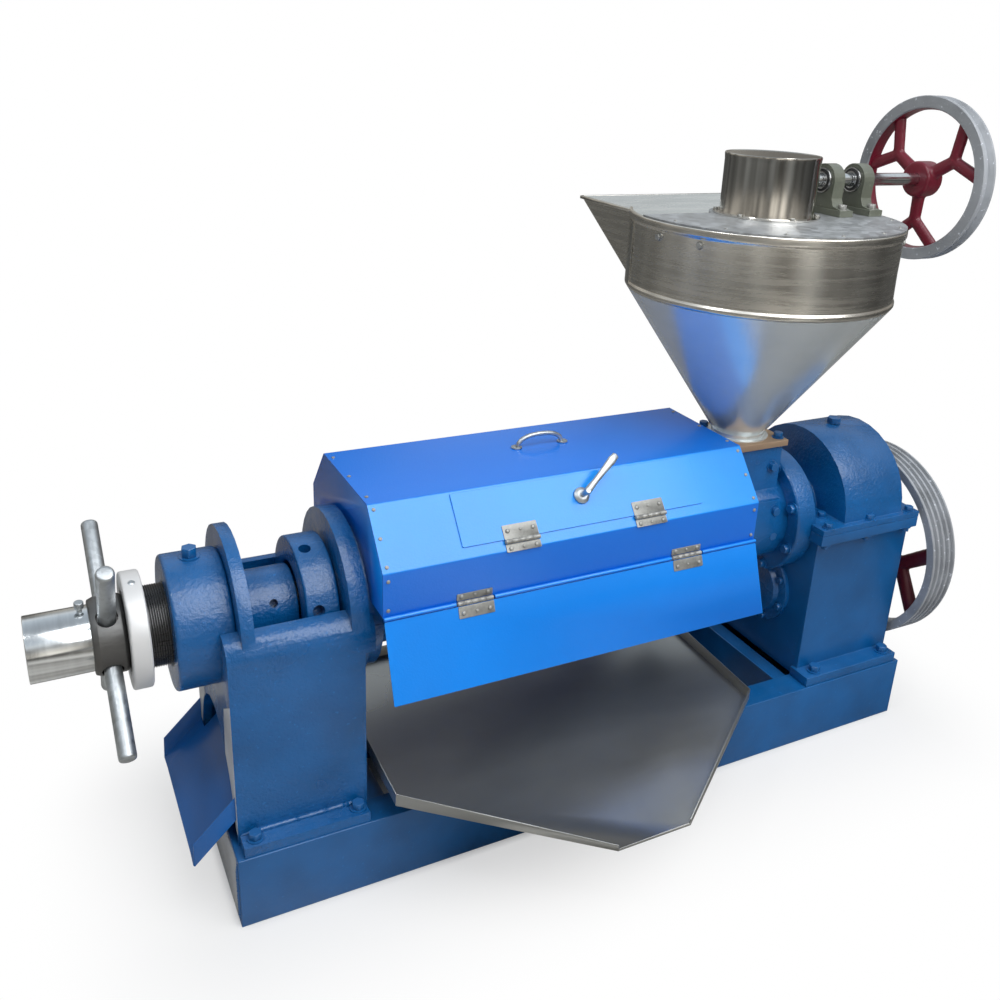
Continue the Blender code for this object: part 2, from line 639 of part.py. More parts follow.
def make_adjusting_gear():
    """Hollow adjusting screw, lock ring, hub with tommy bars and outer tube."""
    bore = SCREW_BORE
    screw = ring("adjusting_screw", SCREW_RADIUS, bore, (HUB_X[1] + GAP, SLEEVE_X[0] - GAP))
    paint(smooth_turned(screw), DARK_STEEL)
    lock = ring("lock_ring", LOCK_RING_RADIUS, clear(SCREW_RADIUS), LOCK_RING_X,
                chamfer=LOCK_RING_CHAMFER)
    paint(smooth_turned(lock), SILVER_PAINT)
    half = (HUB_X[1] - HUB_X[0]) / 2
    seat = clear(TUBE_RADIUS)
    profile = [(bore, half), (HUB_RADIUS, half), (HUB_RADIUS, -half), (seat, -half),
               (seat, TUBE_SEAT - half), (bore, TUBE_SEAT - half)]
    hub = turned("adjusting_hub", profile, ((HUB_X[0] + HUB_X[1]) / 2, 0, SHAFT_HEIGHT))
    tube = ring("outer_tube", TUBE_RADIUS, TUBE_RADIUS - TUBE_WALL,
                (TUBE_START, HUB_X[0] + TUBE_SEAT - GAP), steps=ROUND_STEPS)
    paint(smooth_turned(tube), CHROME)
    for index in range(4):
        turn = BAR_ANGLE + index * math.pi / 2
        way = Vector((0, -math.cos(turn), math.sin(turn)))
        centre = Vector((BAR_X, 0, SHAFT_HEIGHT))
        inner, outer = BAR_REACH
        hole = rod(f"bar_hole_{index + 1}", clear(BAR_RADIUS), centre + way * (inner - GAP),
                   centre + way * (HUB_RADIUS + BAR_RADIUS), 24)
        cut(hub, hole)
        bar = rod(f"tommy_bar_{index + 1}", BAR_RADIUS, centre + way * inner,
                  centre + way * outer, 24)
        soften(bar, BAR_EDGE)
        paint(bar, ZINC)
    return paint(hub, DARK_STEEL)


def soften(item, width):
    """Round an object's sharp edges."""
    bevel = item.modifiers.new("soft_edge", "BEVEL")
    bevel.width = width
    bevel.segments = 1
    bevel.limit_method = "ANGLE"
    bevel.angle_limit = math.radians(50.0)
    return item


def smooth_turned(item):
    """Shade a turned shape smooth."""
    item.modifiers["turn"].use_smooth_shade = True
    return item


def make_cage_sleeves():
    """Thrust sleeve that closes the cake outlet, and the drilled spanner ring."""
    sleeve = ring("thrust_sleeve", SLEEVE_RADIUS, clear(SHAFT_RADIUS), SLEEVE_X)
    way = Vector((0, -math.cos(SLEEVE_ANGLE), math.sin(SLEEVE_ANGLE)))
    centre = Vector((SLEEVE_HOLE_X, 0, SHAFT_HEIGHT))
    middle = (SHAFT_RADIUS + SLEEVE_RADIUS) / 2
    outside = SLEEVE_RADIUS + SHAFT_RADIUS
    cut(sleeve, rod("sleeve_hole", SLEEVE_HOLE, centre + way * middle, centre + way * outside, 16))
    paint(sleeve, CASTING_BLUE)
    half = (SPANNER_X[1] - SPANNER_X[0]) / 2
    neck = RING_B_X[0] - GAP - (SPANNER_X[0] + half)
    edge = SPANNER_RADIUS - SPANNER_CHAMFER
    profile = [(SPANNER_BORE, neck), (SPANNER_NECK, neck), (SPANNER_NECK, half), (edge, half),
               (SPANNER_RADIUS, half - SPANNER_CHAMFER), (SPANNER_RADIUS, SPANNER_CHAMFER - half),
               (edge, -half),
               (SPANNER_BORE, -half)]
    spanner = turned("spanner_ring", profile, (SPANNER_X[0] + half, 0, SHAFT_HEIGHT))
    for index in range(6):
        turn = SPANNER_ANGLE + index * math.pi / 3
        way = Vector((0, -math.cos(turn), math.sin(turn)))
        centre = Vector((SPANNER_HOLE_X, 0, SHAFT_HEIGHT))
        middle = (SPANNER_BORE + SPANNER_RADIUS) / 2
        outside = SPANNER_RADIUS + SPANNER_HOLE
        cut(spanner, rod(f"spanner_hole_{index + 1}", SPANNER_HOLE, centre + way * middle,
                         centre + way * outside, 16))
    paint(spanner, CASTING_BLUE)


def make_shaft():
    """Stepped main shaft."""
    length = SHAFT_X[1] - SHAFT_X[0]
    step = SHAFT_X[1] - JOURNAL_START
    edge = SHAFT_CHAMFER
    profile = [(0.0, length), (JOURNAL_RADIUS - edge, length), (JOURNAL_RADIUS, length - edge),
               (JOURNAL_RADIUS, length - step), (SHAFT_RADIUS, length - step),
               (SHAFT_RADIUS, edge), (SHAFT_RADIUS - edge, 0.0), (0.0, 0.0)]
    shaft = turned("main_shaft", profile, (SHAFT_X[0], 0, SHAFT_HEIGHT), closed=False)
    return paint(smooth_turned(shaft), WORM_STEEL)


def worm(name, x, root_start, root_end):
    """Bored worm section: one turn of a flight wound round a root that may taper."""
    length = x[1] - x[0]
    rings = []
    for step in range(WORM_STEPS + 1):
        share = step / WORM_STEPS
        root = root_start + (root_end - root_start) * share
        twist = math.tau * share
        rings.append([radial(x[0] + length * share, worm_radius(index, root), spoke(index) + twist)
                      for index in range(RING_POINTS)])
    bore = clear(SHAFT_RADIUS, RING_POINTS - 2)
    for end in (x[1], x[0]):
        rings.append([radial(end, bore, spoke(index)) for index in range(RING_POINTS)])
    return paint(ring_loft(name, rings), WORM_STEEL)


def spoke(index):
    """Angle of one point of a worm section; the first four stand on the flight."""
    if index < 4:
        return LOBE_ANGLE * (0.0, 0.22, 0.78, 1.0)[index]
    return LOBE_ANGLE + (math.tau - LOBE_ANGLE) * (index - 3) / (RING_POINTS - 3)


def worm_radius(index, root):
    """Radius of one point of a worm section."""
    return WORM_RADIUS if index in (1, 2) else root


def radial(x, radius, turn):
    """Point at a radius and angle round the main shaft."""
    return (x, radius * math.cos(turn), SHAFT_HEIGHT + radius * math.sin(turn))


def make_worms():
    """Cone ring at the outlet, four pressing worms and the feed worm."""
    half = (CONE_X[1] - CONE_X[0]) / 2
    bore = clear(SHAFT_RADIUS)
    profile = [(bore, half), (WORM_ROOTS[0], half), (CONE_RADII[1], 0.0), (CONE_RADII[0], -half),
               (bore, -half)]
    cone = turned("cone_ring", profile, (CONE_X[0] + half, 0, SHAFT_HEIGHT))
    paint(smooth_turned(cone), WORM_STEEL)
    start = CONE_X[1] + GAP
    total = FEED_WORM_END - CONE_X[1]
    for index, share in enumerate(WORM_SHARES):
        end = start + share * total - GAP
        worm(f"worm_{index + 1}", (start, end), WORM_ROOTS[index], WORM_ROOTS[index + 1])
        start = end + GAP
    worm("feed_worm", (start, FEED_WORM_END), WORM_ROOTS[4], WORM_ROOTS[5])


def half_space(name, upper, x):
    """Block that removes one half of a split housing, with a fine gap."""
    if upper:
        z = (SHAFT_HEIGHT - GAP / 2, SHAFT_HEIGHT + 0.5)
    else:
        z = (SHAFT_HEIGHT - 0.5, SHAFT_HEIGHT + GAP / 2)
    return block(name, (x[0] - 0.05, x[1] + 0.05), (-0.4, 0.4), z)


def make_barrel():
    """Split press barrel: two flanged and ribbed halves, the lower one slotted."""
    x = BARREL_X
    for upper in (True, False):
        name = "barrel_upper" if upper else "barrel_lower"
        shell = x_rod(name, BARREL_RADIUS, x)
        ends = ((x[0], x[0] + BARREL_FLANGE), (x[1] - BARREL_FLANGE, x[1]))
        for index, span in enumerate(ends):
            join(shell, x_rod(f"{name}_end_{index + 1}", BARREL_FLANGE_RADIUS, span))
        for index in range(RIB_COUNT):
            middle = x[0] + RIB_PITCH * (index + 1)
            span = (middle - RIB_WIDTH / 2, middle + RIB_WIDTH / 2)
            join(shell, x_rod(f"{name}_rib_{index + 1}", RIB_RADIUS, span))
        levels = (SHAFT_HEIGHT - JOINT_THICK, SHAFT_HEIGHT + JOINT_THICK)
        plate = block(f"{name}_joint", (x[0] + JOINT_INSET, x[1] - JOINT_INSET),
                      (-JOINT_REACH, JOINT_REACH), levels)
        join(shell, plate)
        bore = x_rod(f"{name}_bore", BORE_RADIUS, (x[0] - 0.05, x[1] + 0.05))
        cut(shell, bore, half_space(f"{name}_waste", not upper, x))
        if not upper:
            cut_slots(shell, x)
        paint(shell, CASTING_BLUE)


def cut_slots(shell, x):
    """Oil slots along the lower half, in rows between the ribs."""
    length, width = SLOT
    inner, outer = SLOT_RADIUS
    half = (outer - inner) / 2
    for column in range(RIB_COUNT + 1):
        middle = x[0] + RIB_PITCH * (column + 0.5)
        for row, degrees in enumerate(SLOT_ROW_ANGLES):
            turn = math.radians(degrees)
            way = Vector((0, math.sin(turn), -math.cos(turn)))
            slot = block(f"oil_slot_{column + 1}_{row + 1}", (-length / 2, length / 2),
                         (-width / 2, width / 2), (-half, half))
            slot.location = Vector((middle, 0, SHAFT_HEIGHT)) + way * (inner + half)
            slot.rotation_euler = (turn, 0, 0)
            cut(shell, slot)


def make_feed_housing():
    """Feed end of the barrel with its throat, and the plate under the hopper."""
    housing = x_rod("feed_housing", FEED_RADIUS, FEED_X)
    body = block("feed_block", FEED_BLOCK_X, (-FEED_BLOCK_HALF, FEED_BLOCK_HALF), FEED_BLOCK_Z)
    throat = block("feed_throat", THROAT_X, (-THROAT_HALF, THROAT_HALF),
                   (SHAFT_HEIGHT + THROAT_LAP, THROAT_TOP))
    join(housing, body, throat)
    bore = x_rod("feed_bore", BORE_RADIUS, (FEED_X[0] - 0.05, FEED_X[1] + 0.05))
    passage = rod("feed_passage", PASSAGE_RADIUS, (HOPPER_X, 0, SHAFT_HEIGHT),
                  (HOPPER_X, 0, THROAT_TOP + PLATE_THICK), 32)
    paint(cut(housing, bore, passage), CASTING_BLUE)
    low, high = PLATE_REACH
    half = THROAT_HALF + high
    plate = block("throat_plate", (THROAT_X[0] - low, THROAT_X[1] + high), (-half, half),
                  (THROAT_TOP + GAP, THROAT_TOP + GAP + PLATE_THICK))
    hole = rod("plate_hole", PASSAGE_RADIUS, (HOPPER_X, 0, THROAT_TOP - PLATE_THICK),
               (HOPPER_X, 0, THROAT_TOP + 2 * PLATE_THICK), 32)
    return paint(cut(plate, hole), RAW_PLATE)


def make_hopper():
    """Sheet hopper: lower cone, drum with a rear filling mouth, and lid."""
    inner = OUTLET_RADIUS - SHEET
    foot = CONE_BOTTOM
    flange = OUTLET_RADIUS + OUTLET_FLANGE
    neck = foot + OUTLET_NECK
    profile = [(DRUM_RADIUS, CONE_TOP), (OUTLET_RADIUS, neck), (OUTLET_RADIUS, foot + SHEET),
               (flange, foot + SHEET), (flange, foot), (inner, foot), (inner, neck),
               (DRUM_RADIUS - SHEET, CONE_TOP)]
    cone = turned("hopper_cone", profile, (HOPPER_X, 0, 0), along_x=False)
    paint(smooth_turned(cone), STAINLESS)

    z = (CONE_TOP + GAP, DRUM_TOP)
    axis = [(HOPPER_X, 0, height) for height in z]
    drum = rod("hopper_drum", DRUM_RADIUS, *axis, LARGE_STEPS)
    band = rod("hopper_rim", RIM_RADIUS, (HOPPER_X, 0, DRUM_TOP - RIM_HEIGHT), axis[1], LARGE_STEPS)
    x = (HOPPER_X - SPOUT_HALF, HOPPER_X + SPOUT_HALF)
    tip_y, tip_z = SPOUT_TIP
    root_y, root_z = SPOUT_ROOT
    mouth = section("spout_outside", [(0.0, root_z), (root_y, root_z), (tip_y, tip_z), (0.0, tip_z)], x)
    join(drum, band, mouth)
    inside = rod("drum_inside", DRUM_RADIUS - SHEET, (HOPPER_X, 0, CONE_TOP - 0.05),
                 (HOPPER_X, 0, DRUM_TOP + 0.05), LARGE_STEPS)
    rise = Vector((tip_y - root_y, tip_z - root_z)).normalized()
    lift = Vector((-rise.y, rise.x)) * SHEET
    low = Vector(SPOUT_ROOT) + lift
    high = low + rise * (tip_y - root_y) * 1.5
    hollow = section("spout_inside", [(-0.05, low.y), tuple(low), tuple(high), (-0.05, high.y)],
                     (x[0] + SHEET, x[1] - SHEET))
    paint(cut(drum, inside, hollow), STAINLESS)

    axis = [(HOPPER_X, 0, height) for height in (DRUM_TOP + GAP, LID_TOP)]
    through = [(HOPPER_X, 0, height) for height in (CONE_TOP, LID_TOP + RIM_HEIGHT)]
    lid = rod("hopper_lid", RIM_RADIUS - LID_INSET, *axis, LARGE_STEPS)
    waste = block("lid_waste", (HOPPER_X - 2 * RIM_RADIUS, HOPPER_X + 2 * RIM_RADIUS),
                  (LID_REAR, 2 * RIM_RADIUS), (CONE_TOP, LID_TOP + RIM_HEIGHT))
    hole = rod("lid_hole", clear(STIRRER_RADIUS), *through, 24)
    seat = rod("lid_can_seat", CAN_FLANGE + CAN_SEAT, *axis, LARGE_STEPS)
    return paint(cut(join(cut(lid, waste), seat), hole), GALVANISED)


def make_bevel_can():
    """Round housing over the bevel gears on the lid."""
    foot = LID_TOP + GAP
    wall, bead = CAN_WALL, CAN_RADIUS - CAN_BEAD
    roof = CAN_TOP - wall
    profile = [(0.0, roof), (bead, roof), (bead, CAN_TOP), (CAN_RADIUS, CAN_TOP),
               (CAN_RADIUS, foot + wall), (CAN_FLANGE, foot + wall), (CAN_FLANGE, foot),
               (CAN_RADIUS - wall, foot), (CAN_RADIUS - wall, roof - wall), (0.0, roof - wall)]
    can = turned("bevel_can", profile, (HOPPER_X, 0, 0), along_x=False, closed=False)
    smooth_turned(can)
    wall_x = HOPPER_X + CAN_RADIUS
    hole = x_rod("can_hole", AGITATOR_SHAFT + 2 * GAP, (wall_x - 0.05, wall_x + 0.05),
                 z=AGITATOR_HEIGHT, steps=24)
    return paint(cut(can, hole), STAINLESS)


def make_pillow_blocks():
    """Two plummer blocks on the lid for the agitator shaft."""
    half_x, half_y = PILLOW_HALF
    foot = LID_TOP + GAP
    for index, x in enumerate(PILLOW_CENTRES):
        name = f"pillow_block_{index + 1}"
        body = block(name, (x - half_x, x + half_x), (-half_y, half_y), (foot, foot + PILLOW_FOOT))
        neck_x, neck_y = PILLOW_NECK
        neck = block(f"{name}_neck", (x - neck_x, x + neck_x), (-neck_y, neck_y),
                     (foot + PILLOW_FOOT / 3, AGITATOR_HEIGHT - AGITATOR_SHAFT - GAP))
        housing = x_rod(f"{name}_ring", PILLOW_RADIUS, (x - PILLOW_BOSS, x + PILLOW_BOSS),
                        z=AGITATOR_HEIGHT, steps=32)
        bore = x_rod(f"{name}_bore", clear(AGITATOR_SHAFT), (x - 2 * PILLOW_BOSS, x + 2 * PILLOW_BOSS),
                     z=AGITATOR_HEIGHT, steps=32)
        paint(cut(join(body, neck, housing), bore), OLIVE)


def make_agitator():
    """Horizontal agitator shaft, and the stirrer that hangs in the hopper."""
    shaft = x_rod("agitator_shaft", AGITATOR_SHAFT, AGITATOR_X, z=AGITATOR_HEIGHT, steps=32)
    paint(soften(shaft, BAR_EDGE), ZINC)
    stirrer = rod("stirrer", STIRRER_RADIUS, (HOPPER_X, 0, STIRRER_FOOT), (HOPPER_X, 0, STIRRER_TOP), 24)
    for index, (height, reach) in enumerate(STIRRER_REACH):
        turn = index * STIRRER_TWIST_ANGLE
        arm = Vector((math.cos(turn), math.sin(turn), 0)) * reach
        centre = Vector((HOPPER_X, 0, CONE_BOTTOM + height))
        join(stirrer, rod(f"stirrer_arm_{index + 1}", STIRRER_ARM, centre - arm, centre + arm, 12))
    return paint(stirrer, ZINC)


def bevel_gear(name, teeth, mate_teeth, apex, axis, tooth_first, bore):
    """Bevel gear as a loft between its large and small ends, apex at a point."""
    near, far = BEVEL_CONE
    pitch = math.atan2(teeth, mate_teeth)
    module = 2 * far * math.sin(pitch) / teeth
    tip = pitch + 0.60 * module / far
    root = pitch - 0.98 * module / far
    step = math.tau / teeth
    phase = 0.0 if tooth_first else step / 2
    angles = []
    for tooth in range(teeth):
        centre = phase + tooth * step
        angles += [(centre - 0.30 * step, root), (centre - 0.125 * step, tip),
                   (centre + 0.125 * step, tip), (centre + 0.30 * step, root)]
    out = Vector(axis)
    first = Vector((0, 0, -1)) if abs(out.x) > 0.5 else Vector((1, 0, 0))
    second = out.cross(first)

    def point(turn, radius, along):
        return apex + out * along + (first * math.cos(turn) + second * math.sin(turn)) * radius

    rings = [[point(turn, span * math.sin(cone), span * math.cos(cone)) for turn, cone in angles]
             for span in (near, far)]
    back = far * math.cos(pitch) + BEVEL_BOSS
    front = near * math.cos(pitch) + BEVEL_FRONT
    rings.append([point(turn, bore + BEVEL_BOSS, back) for turn, cone in angles])
    rings.append([point(turn, bore, back) for turn, cone in angles])
    rings.append([point(turn, bore, front) for turn, cone in angles])
    return ring_loft(name, rings)


def make_bevel_gears():
    """Bevel pair between the agitator shaft and the stirrer, two to one."""
    apex = Vector((HOPPER_X, 0, AGITATOR_HEIGHT))
    few, many = BEVEL_TEETH
    pinion = bevel_gear("bevel_pinion", few, many, apex, (1, 0, 0), True, clear(AGITATOR_SHAFT))
    crown = bevel_gear("crown_gear", many, few, apex, (0, 0, -1), False, STIRRER_RADIUS + GAP)
    return paint(pinion, WORM_STEEL), paint(crown, WORM_STEEL)


def gear_outline(teeth, tip_radius, root_radius, tooth_first):
    """Involute gear outline with a little backlash, as (angle, radius) pairs."""
    pitch_radius = GEAR_MODULE * teeth / 2
    base_radius = pitch_radius * math.cos(math.radians(20.0))
    step = math.tau / teeth

    def half_angle(radius):
        if radius <= base_radius:
            lean = 0.0
        else:
            lean = math.sqrt((radius / base_radius) ** 2 - 1)
            lean -= math.atan(lean)
        flat = math.tan(math.radians(20.0)) - math.radians(20.0)
        return 0.235 * step + flat - lean

    levels = (root_radius, pitch_radius, tip_radius) if teeth < 20 else (root_radius, tip_radius)
    spans = [(half_angle(radius), radius) for radius in levels]
    rows = []
    for tooth in range(teeth):
        centre = tooth * step + (0.0 if tooth_first else step / 2)
        rows += [(centre - half, radius) for half, radius in spans]
        rows += [(centre + half, radius) for half, radius in reversed(spans)]
    return rows


def spur_gear(name, rows, x, z, bore, towards):
    """Spur gear along X; its first tooth or gap points up or down."""
    def place(turn, radius, along):
        return (along, radius * math.sin(turn), z + towards * radius * math.cos(turn))

    rings = [[place(turn, radius, along) for turn, radius in rows] for along in x]
    rings += [[place(turn, bore, along) for turn, radius in rows] for along in (x[1], x[0])]
    return paint(ring_loft(name, rings), WORM_STEEL)


def make_gears():
    """Bull gear on the main shaft and the pinion on the input shaft below it."""
    bull = GEAR_MODULE * BULL_TEETH / 2
    pinion = GEAR_MODULE * PINION_TEETH / 2
    tip, root = (GEAR_MODULE * share for share in BULL_TOOTH_SHARES)
    rows = gear_outline(BULL_TEETH, bull + tip, bull - root, True)
    spur_gear("bull_gear", rows, BULL_X, SHAFT_HEIGHT, clear(JOURNAL_RADIUS), -1)
    tip, root = (GEAR_MODULE * share for share in PINION_TOOTH_SHARES)
    rows = gear_outline(PINION_TEETH, pinion + tip, pinion - root, False)
    spur_gear("input_pinion", rows, PINION_X, INPUT_HEIGHT, clear(INPUT_RADIUS), 1)
    shaft = x_rod("input_shaft", INPUT_RADIUS, INPUT_X, z=INPUT_HEIGHT, steps=32)
    return paint(soften(shaft, BAR_EDGE), WORM_STEEL)


def make_gearbox():
    """Gearbox: open-topped body on feet, and the flanged half-round cover."""
    split = SHAFT_HEIGHT
    y = (-BOX_HALF, BOX_HALF)
    body = block("gearbox_body", BOX_X, y, (FRAME_TOP, split - GAP / 2))
    flange = block("body_flange", SPLIT_X, (-SPLIT_HALF, SPLIT_HALF),
                   (split - SPLIT_BELOW, split - GAP / 2))
    join(body, flange)
    for side in (-1, 1):
        inner_y = BOX_HALF - BOX_FOOT_LAP
        foot = block(f"box_foot_{side}", BOX_FOOT_X, (side * inner_y, side * FOOT_REACH),
                     (FRAME_TOP, BASE_HEIGHT + BOX_FOOT_THICK))
        join(body, foot)
    inner = (BOX_X[0] + BOX_WALL, BOX_X[1] - BOX_WALL)
    half = BOX_HALF - BOX_WALL
    hollow = block("box_hollow", inner, (-half, half), (BASE_HEIGHT + BOX_FOOT_THICK, split + 0.05))
    main_bore = x_rod("box_main_bore", clear(JOURNAL_RADIUS), (BOX_X[0] - 0.05, BOX_X[0] + 0.05))
    input_bore = x_rod("box_input_bore", clear(INPUT_RADIUS), (INPUT_X[0] + 0.03, BOX_X[1] + 0.05),
                       z=INPUT_HEIGHT, steps=32)
    seat = x_rod("body_bearing_seat", clear(BEARING_RADIUS), (BEARING_X[0], BOX_X[0]))
    paint(cut(body, hollow, main_bore, input_bore, seat), CASTING_BLUE)

    top = split + SPLIT_ABOVE
    cover = block("gearbox_cover", SPLIT_X, (-SPLIT_HALF, SPLIT_HALF), (split + GAP / 2, top))
    dome = x_rod("cover_dome", DOME_RADIUS, DOME_X, z=top, steps=LARGE_STEPS)
    saddle = x_rod("cover_saddle", DOME_SADDLE, (BOX_X[0], DOME_X[0] + DOME_WALL / 2), steps=LARGE_STEPS)
    join(cover, dome, saddle)
    inside = x_rod("dome_inside", DOME_RADIUS - DOME_WALL, (DOME_X[0] + DOME_WALL, DOME_X[1] - DOME_WALL),
                   z=top, steps=LARGE_STEPS)
    below = half_space("cover_waste", False, SPLIT_X)
    bore = x_rod("cover_bore", clear(JOURNAL_RADIUS), (BOX_X[0] - 0.05, DOME_X[0] + 0.05))
    crown = top + DOME_RADIUS
    plug_hole = rod("plug_hole", PLUG_STEM + GAP, (PLUG_X, 0, crown - 2 * DOME_WALL),
                    (PLUG_X, 0, crown + DOME_WALL), 24)
    seat = x_rod("cover_bearing_seat", clear(BEARING_RADIUS), (BEARING_X[0], BOX_X[0]))
    paint(cut(cover, inside, below, bore, plug_hole, seat), CASTING_BLUE)
    radius, height = PLUG_HEAD
    plug = rod("oil_plug", radius, (PLUG_X, 0, crown + GAP), (PLUG_X, 0, crown + height), 6)
    ends = [(PLUG_X, 0, level) for level in (crown - DOME_WALL, crown + height / 3)]
    join(plug, rod("plug_stem", PLUG_STEM, *ends, 24))
    return paint(plug, CASTING_BLUE)


def make_bearing_covers():
    """Main bearing housing, the lower cap on the same wall and the input shaft's seal cap."""
    half = (BEARING_X[1] - BEARING_X[0]) / 2
    bore = clear(JOURNAL_RADIUS)
    radius = BEARING_RADIUS
    front, back = BEARING_CHAMFER
    profile = [(bore, half), (radius - back, half), (radius, half - back), (radius, front - half),
               (radius - front, -half), (bore, -half)]
    housing = turned("bearing_housing", profile, (BEARING_X[0] + half, 0, SHAFT_HEIGHT))
    paint(smooth_turned(housing), CASTING_BLUE)
    x = (BOX_X[0] - GAP - CAP_THICK, BOX_X[0] - GAP)
    edge, step = CAP_STEP
    root, face = CAP_BOSS
    profile = [(0.0, CAP_THICK), (CAP_RADIUS, CAP_THICK), (CAP_RADIUS, edge), (root, step),
               (face, 0.0), (0.0, 0.0)]
    cap = turned("lower_cap", profile, (x[0], CAP_CENTRE[0], CAP_CENTRE[1]), closed=False)
    waste = x_rod("lower_cap_waste", clear(BEARING_RADIUS), (x[0] - 0.05, x[1] + 0.05))
    paint(cut(cap, waste), CASTING_BLUE)
    seal = ring("seal_cap", SEAL_RADIUS, clear(INPUT_RADIUS), (BOX_X[1] + GAP, BOX_X[1] + SEAL_THICK),
                z=INPUT_HEIGHT)
    return paint(smooth_turned(seal), CASTING_BLUE)


def arm(name, start, end, width, thickness, x, centre):
    """Straight pulley arm between two (angle, radius) points, square across."""
    ends = [Vector((0, -math.cos(turn), math.sin(turn))) * radius for turn, radius in (start, end)]
    along = ends[1] - ends[0]
    item = block(name, (-along.length / 2, along.length / 2), (-width / 2, width / 2),
                 (-thickness / 2, thickness / 2))
    side = Vector((1, 0, 0)).cross(along.normalized())
    turn = Matrix((along.normalized(), side, (1, 0, 0))).transposed()
    item.rotation_euler = turn.to_euler()
    item.location = (ends[0] + ends[1]) / 2 + Vector((x, 0, centre))
    return item


def pulley(name, profile, x, radius, rim, centre, hub, bore, first, finish):
    """Belt pulley: turned rim, hub, and three arms that fork near the rim."""
    middle = (x[0] + x[1]) / 2
    wheel = turned(name, profile, (middle, 0, centre), steps=LARGE_STEPS)
    hub_width = (x[1] - x[0]) * 0.72
    join(wheel, x_hub(f"{name}_hub", hub, middle, hub_width, centre))
    fork, inside = 0.50 * radius, radius - rim * 0.8
    width, thickness = 0.105 * radius, 0.075 * radius
    for index in range(3):
        turn = first + index * math.tau / 3
        join(wheel, arm(f"{name}_stem_{index + 1}", (turn, hub * 0.5), (turn, fork * 1.04),
                        width * 1.15, thickness, middle, centre))
        for side in (-1, 1):
            swing = turn + side * FORK_ANGLE
            join(wheel, arm(f"{name}_fork_{index + 1}_{side}", (turn, fork), (swing, inside),
                            width * 0.86, thickness * 0.96, middle, centre))
    shaft_hole = x_rod(f"{name}_bore", bore, (x[0] - 0.05, x[1] + 0.05), z=centre, steps=32)
    return paint(cut(wheel, shaft_hole), finish)


def x_hub(name, radius, middle, width, centre):
    """Pulley hub with its flange."""
    return x_rod(name, radius, (middle - width / 2, middle + width / 2), z=centre, steps=32)


def make_pulleys():
    """Grooved main pulley and the flat-rimmed agitator pulley."""
    half = (MAIN_PULLEY_X[1] - MAIN_PULLEY_X[0]) / 2
    inner = MAIN_PULLEY_RADIUS - MAIN_RIM
    profile = [(MAIN_PULLEY_RADIUS, half)]
    land = GROOVE_LAND
    groove = (2 * half - land * (GROOVES + 1)) / GROOVES
    for index in range(GROOVES):
        top = half - land - index * (groove + land)
        profile += [(MAIN_PULLEY_RADIUS, top), (MAIN_PULLEY_RADIUS - GROOVE_DEPTH, top - groove / 2),
                    (MAIN_PULLEY_RADIUS, top - groove)]
    profile += [(MAIN_PULLEY_RADIUS, -half), (inner, -half), (inner, half)]
    pulley("main_pulley", profile, MAIN_PULLEY_X, MAIN_PULLEY_RADIUS, MAIN_RIM, INPUT_HEIGHT,
           MAIN_HUB, clear(INPUT_RADIUS), MAIN_ARM_ANGLE, SILVER_PAINT)
    half = (SMALL_PULLEY_X[1] - SMALL_PULLEY_X[0]) / 2
    radius = SMALL_PULLEY_RADIUS
    inner = radius - SMALL_RIM
    top, floor, depth = SMALL_GROOVE
    profile = [(radius, half), (radius, top), (radius - depth, floor), (radius - depth, -floor),
               (radius, -top), (radius, -half), (inner, -half), (inner, half)]
    pulley("agitator_pulley", profile, SMALL_PULLEY_X, radius, SMALL_RIM, AGITATOR_HEIGHT,
           SMALL_HUB, clear(AGITATOR_SHAFT), SMALL_ARM_ANGLE, CRIMSON)


def make_guard():
    """Folded sheet guard with its two end plates."""
    top_y, top_z = GUARD_TOP
    fold_y, fold_z = GUARD_FOLD
    flap_y, flap_z = FLAP_FOOT
    line = [(-fold_y, GUARD_SIDE_FOOT), (-fold_y, fold_z), (-top_y, top_z), (top_y, top_z),
            (fold_y, fold_z), (fold_y, GUARD_SIDE_FOOT), (flap_y, flap_z)]
    points = [(x, y, z) for x in GUARD_X for y, z in line]
    count = len(line)
    faces = [(index + 1, index, count + index, count + index + 1) for index in range(count - 1)]
    shell = sheet("guard_shell", points, faces, SHEET)
    low = slope_point(DOOR_FOOT + DOOR_LAP)
    high = slope_point(DOOR_HEAD - DOOR_LAP)
    middle = (low + high) / 2
    tilt = math.atan2(high.y - low.y, high.x - low.x)
    opening = block("door_opening", (DOOR_X[0] + DOOR_LAP, DOOR_X[1] - DOOR_LAP),
                    (-(high - low).length / 2, (high - low).length / 2), (-DOOR_LAP, DOOR_LAP))
    opening.location = (opening.location.x, middle.x, middle.y)
    opening.rotation_euler = (tilt, 0, 0)
    paint(cut(shell, opening), GUARD_BLUE)

    inset = SHEET + GAP
    slope = math.atan2(top_z - fold_z, fold_y - top_y)
    shift = inset * math.tan((math.pi / 2 - slope) / 2)
    corner = inset * math.tan(slope / 2)
    side_y = fold_y - inset
    half_line = [(side_y, GUARD_SIDE_FOOT), (side_y, fold_z - shift), (top_y - corner, top_z - inset)]
    points = half_line + [(-y, z) for y, z in reversed(half_line)]
    for name, x in (("guard_end_left", (GUARD_X[0], GUARD_X[0] + SHEET)),
                    ("guard_end_right", (GUARD_X[1] - SHEET, GUARD_X[1]))):
        plate = section(name, points, x)
        arch = x_rod(f"{name}_arch", BARREL_FLANGE_RADIUS + GAP, (x[0] - 0.05, x[1] + 0.05))
        paint(cut(plate, arch), GUARD_BLUE)


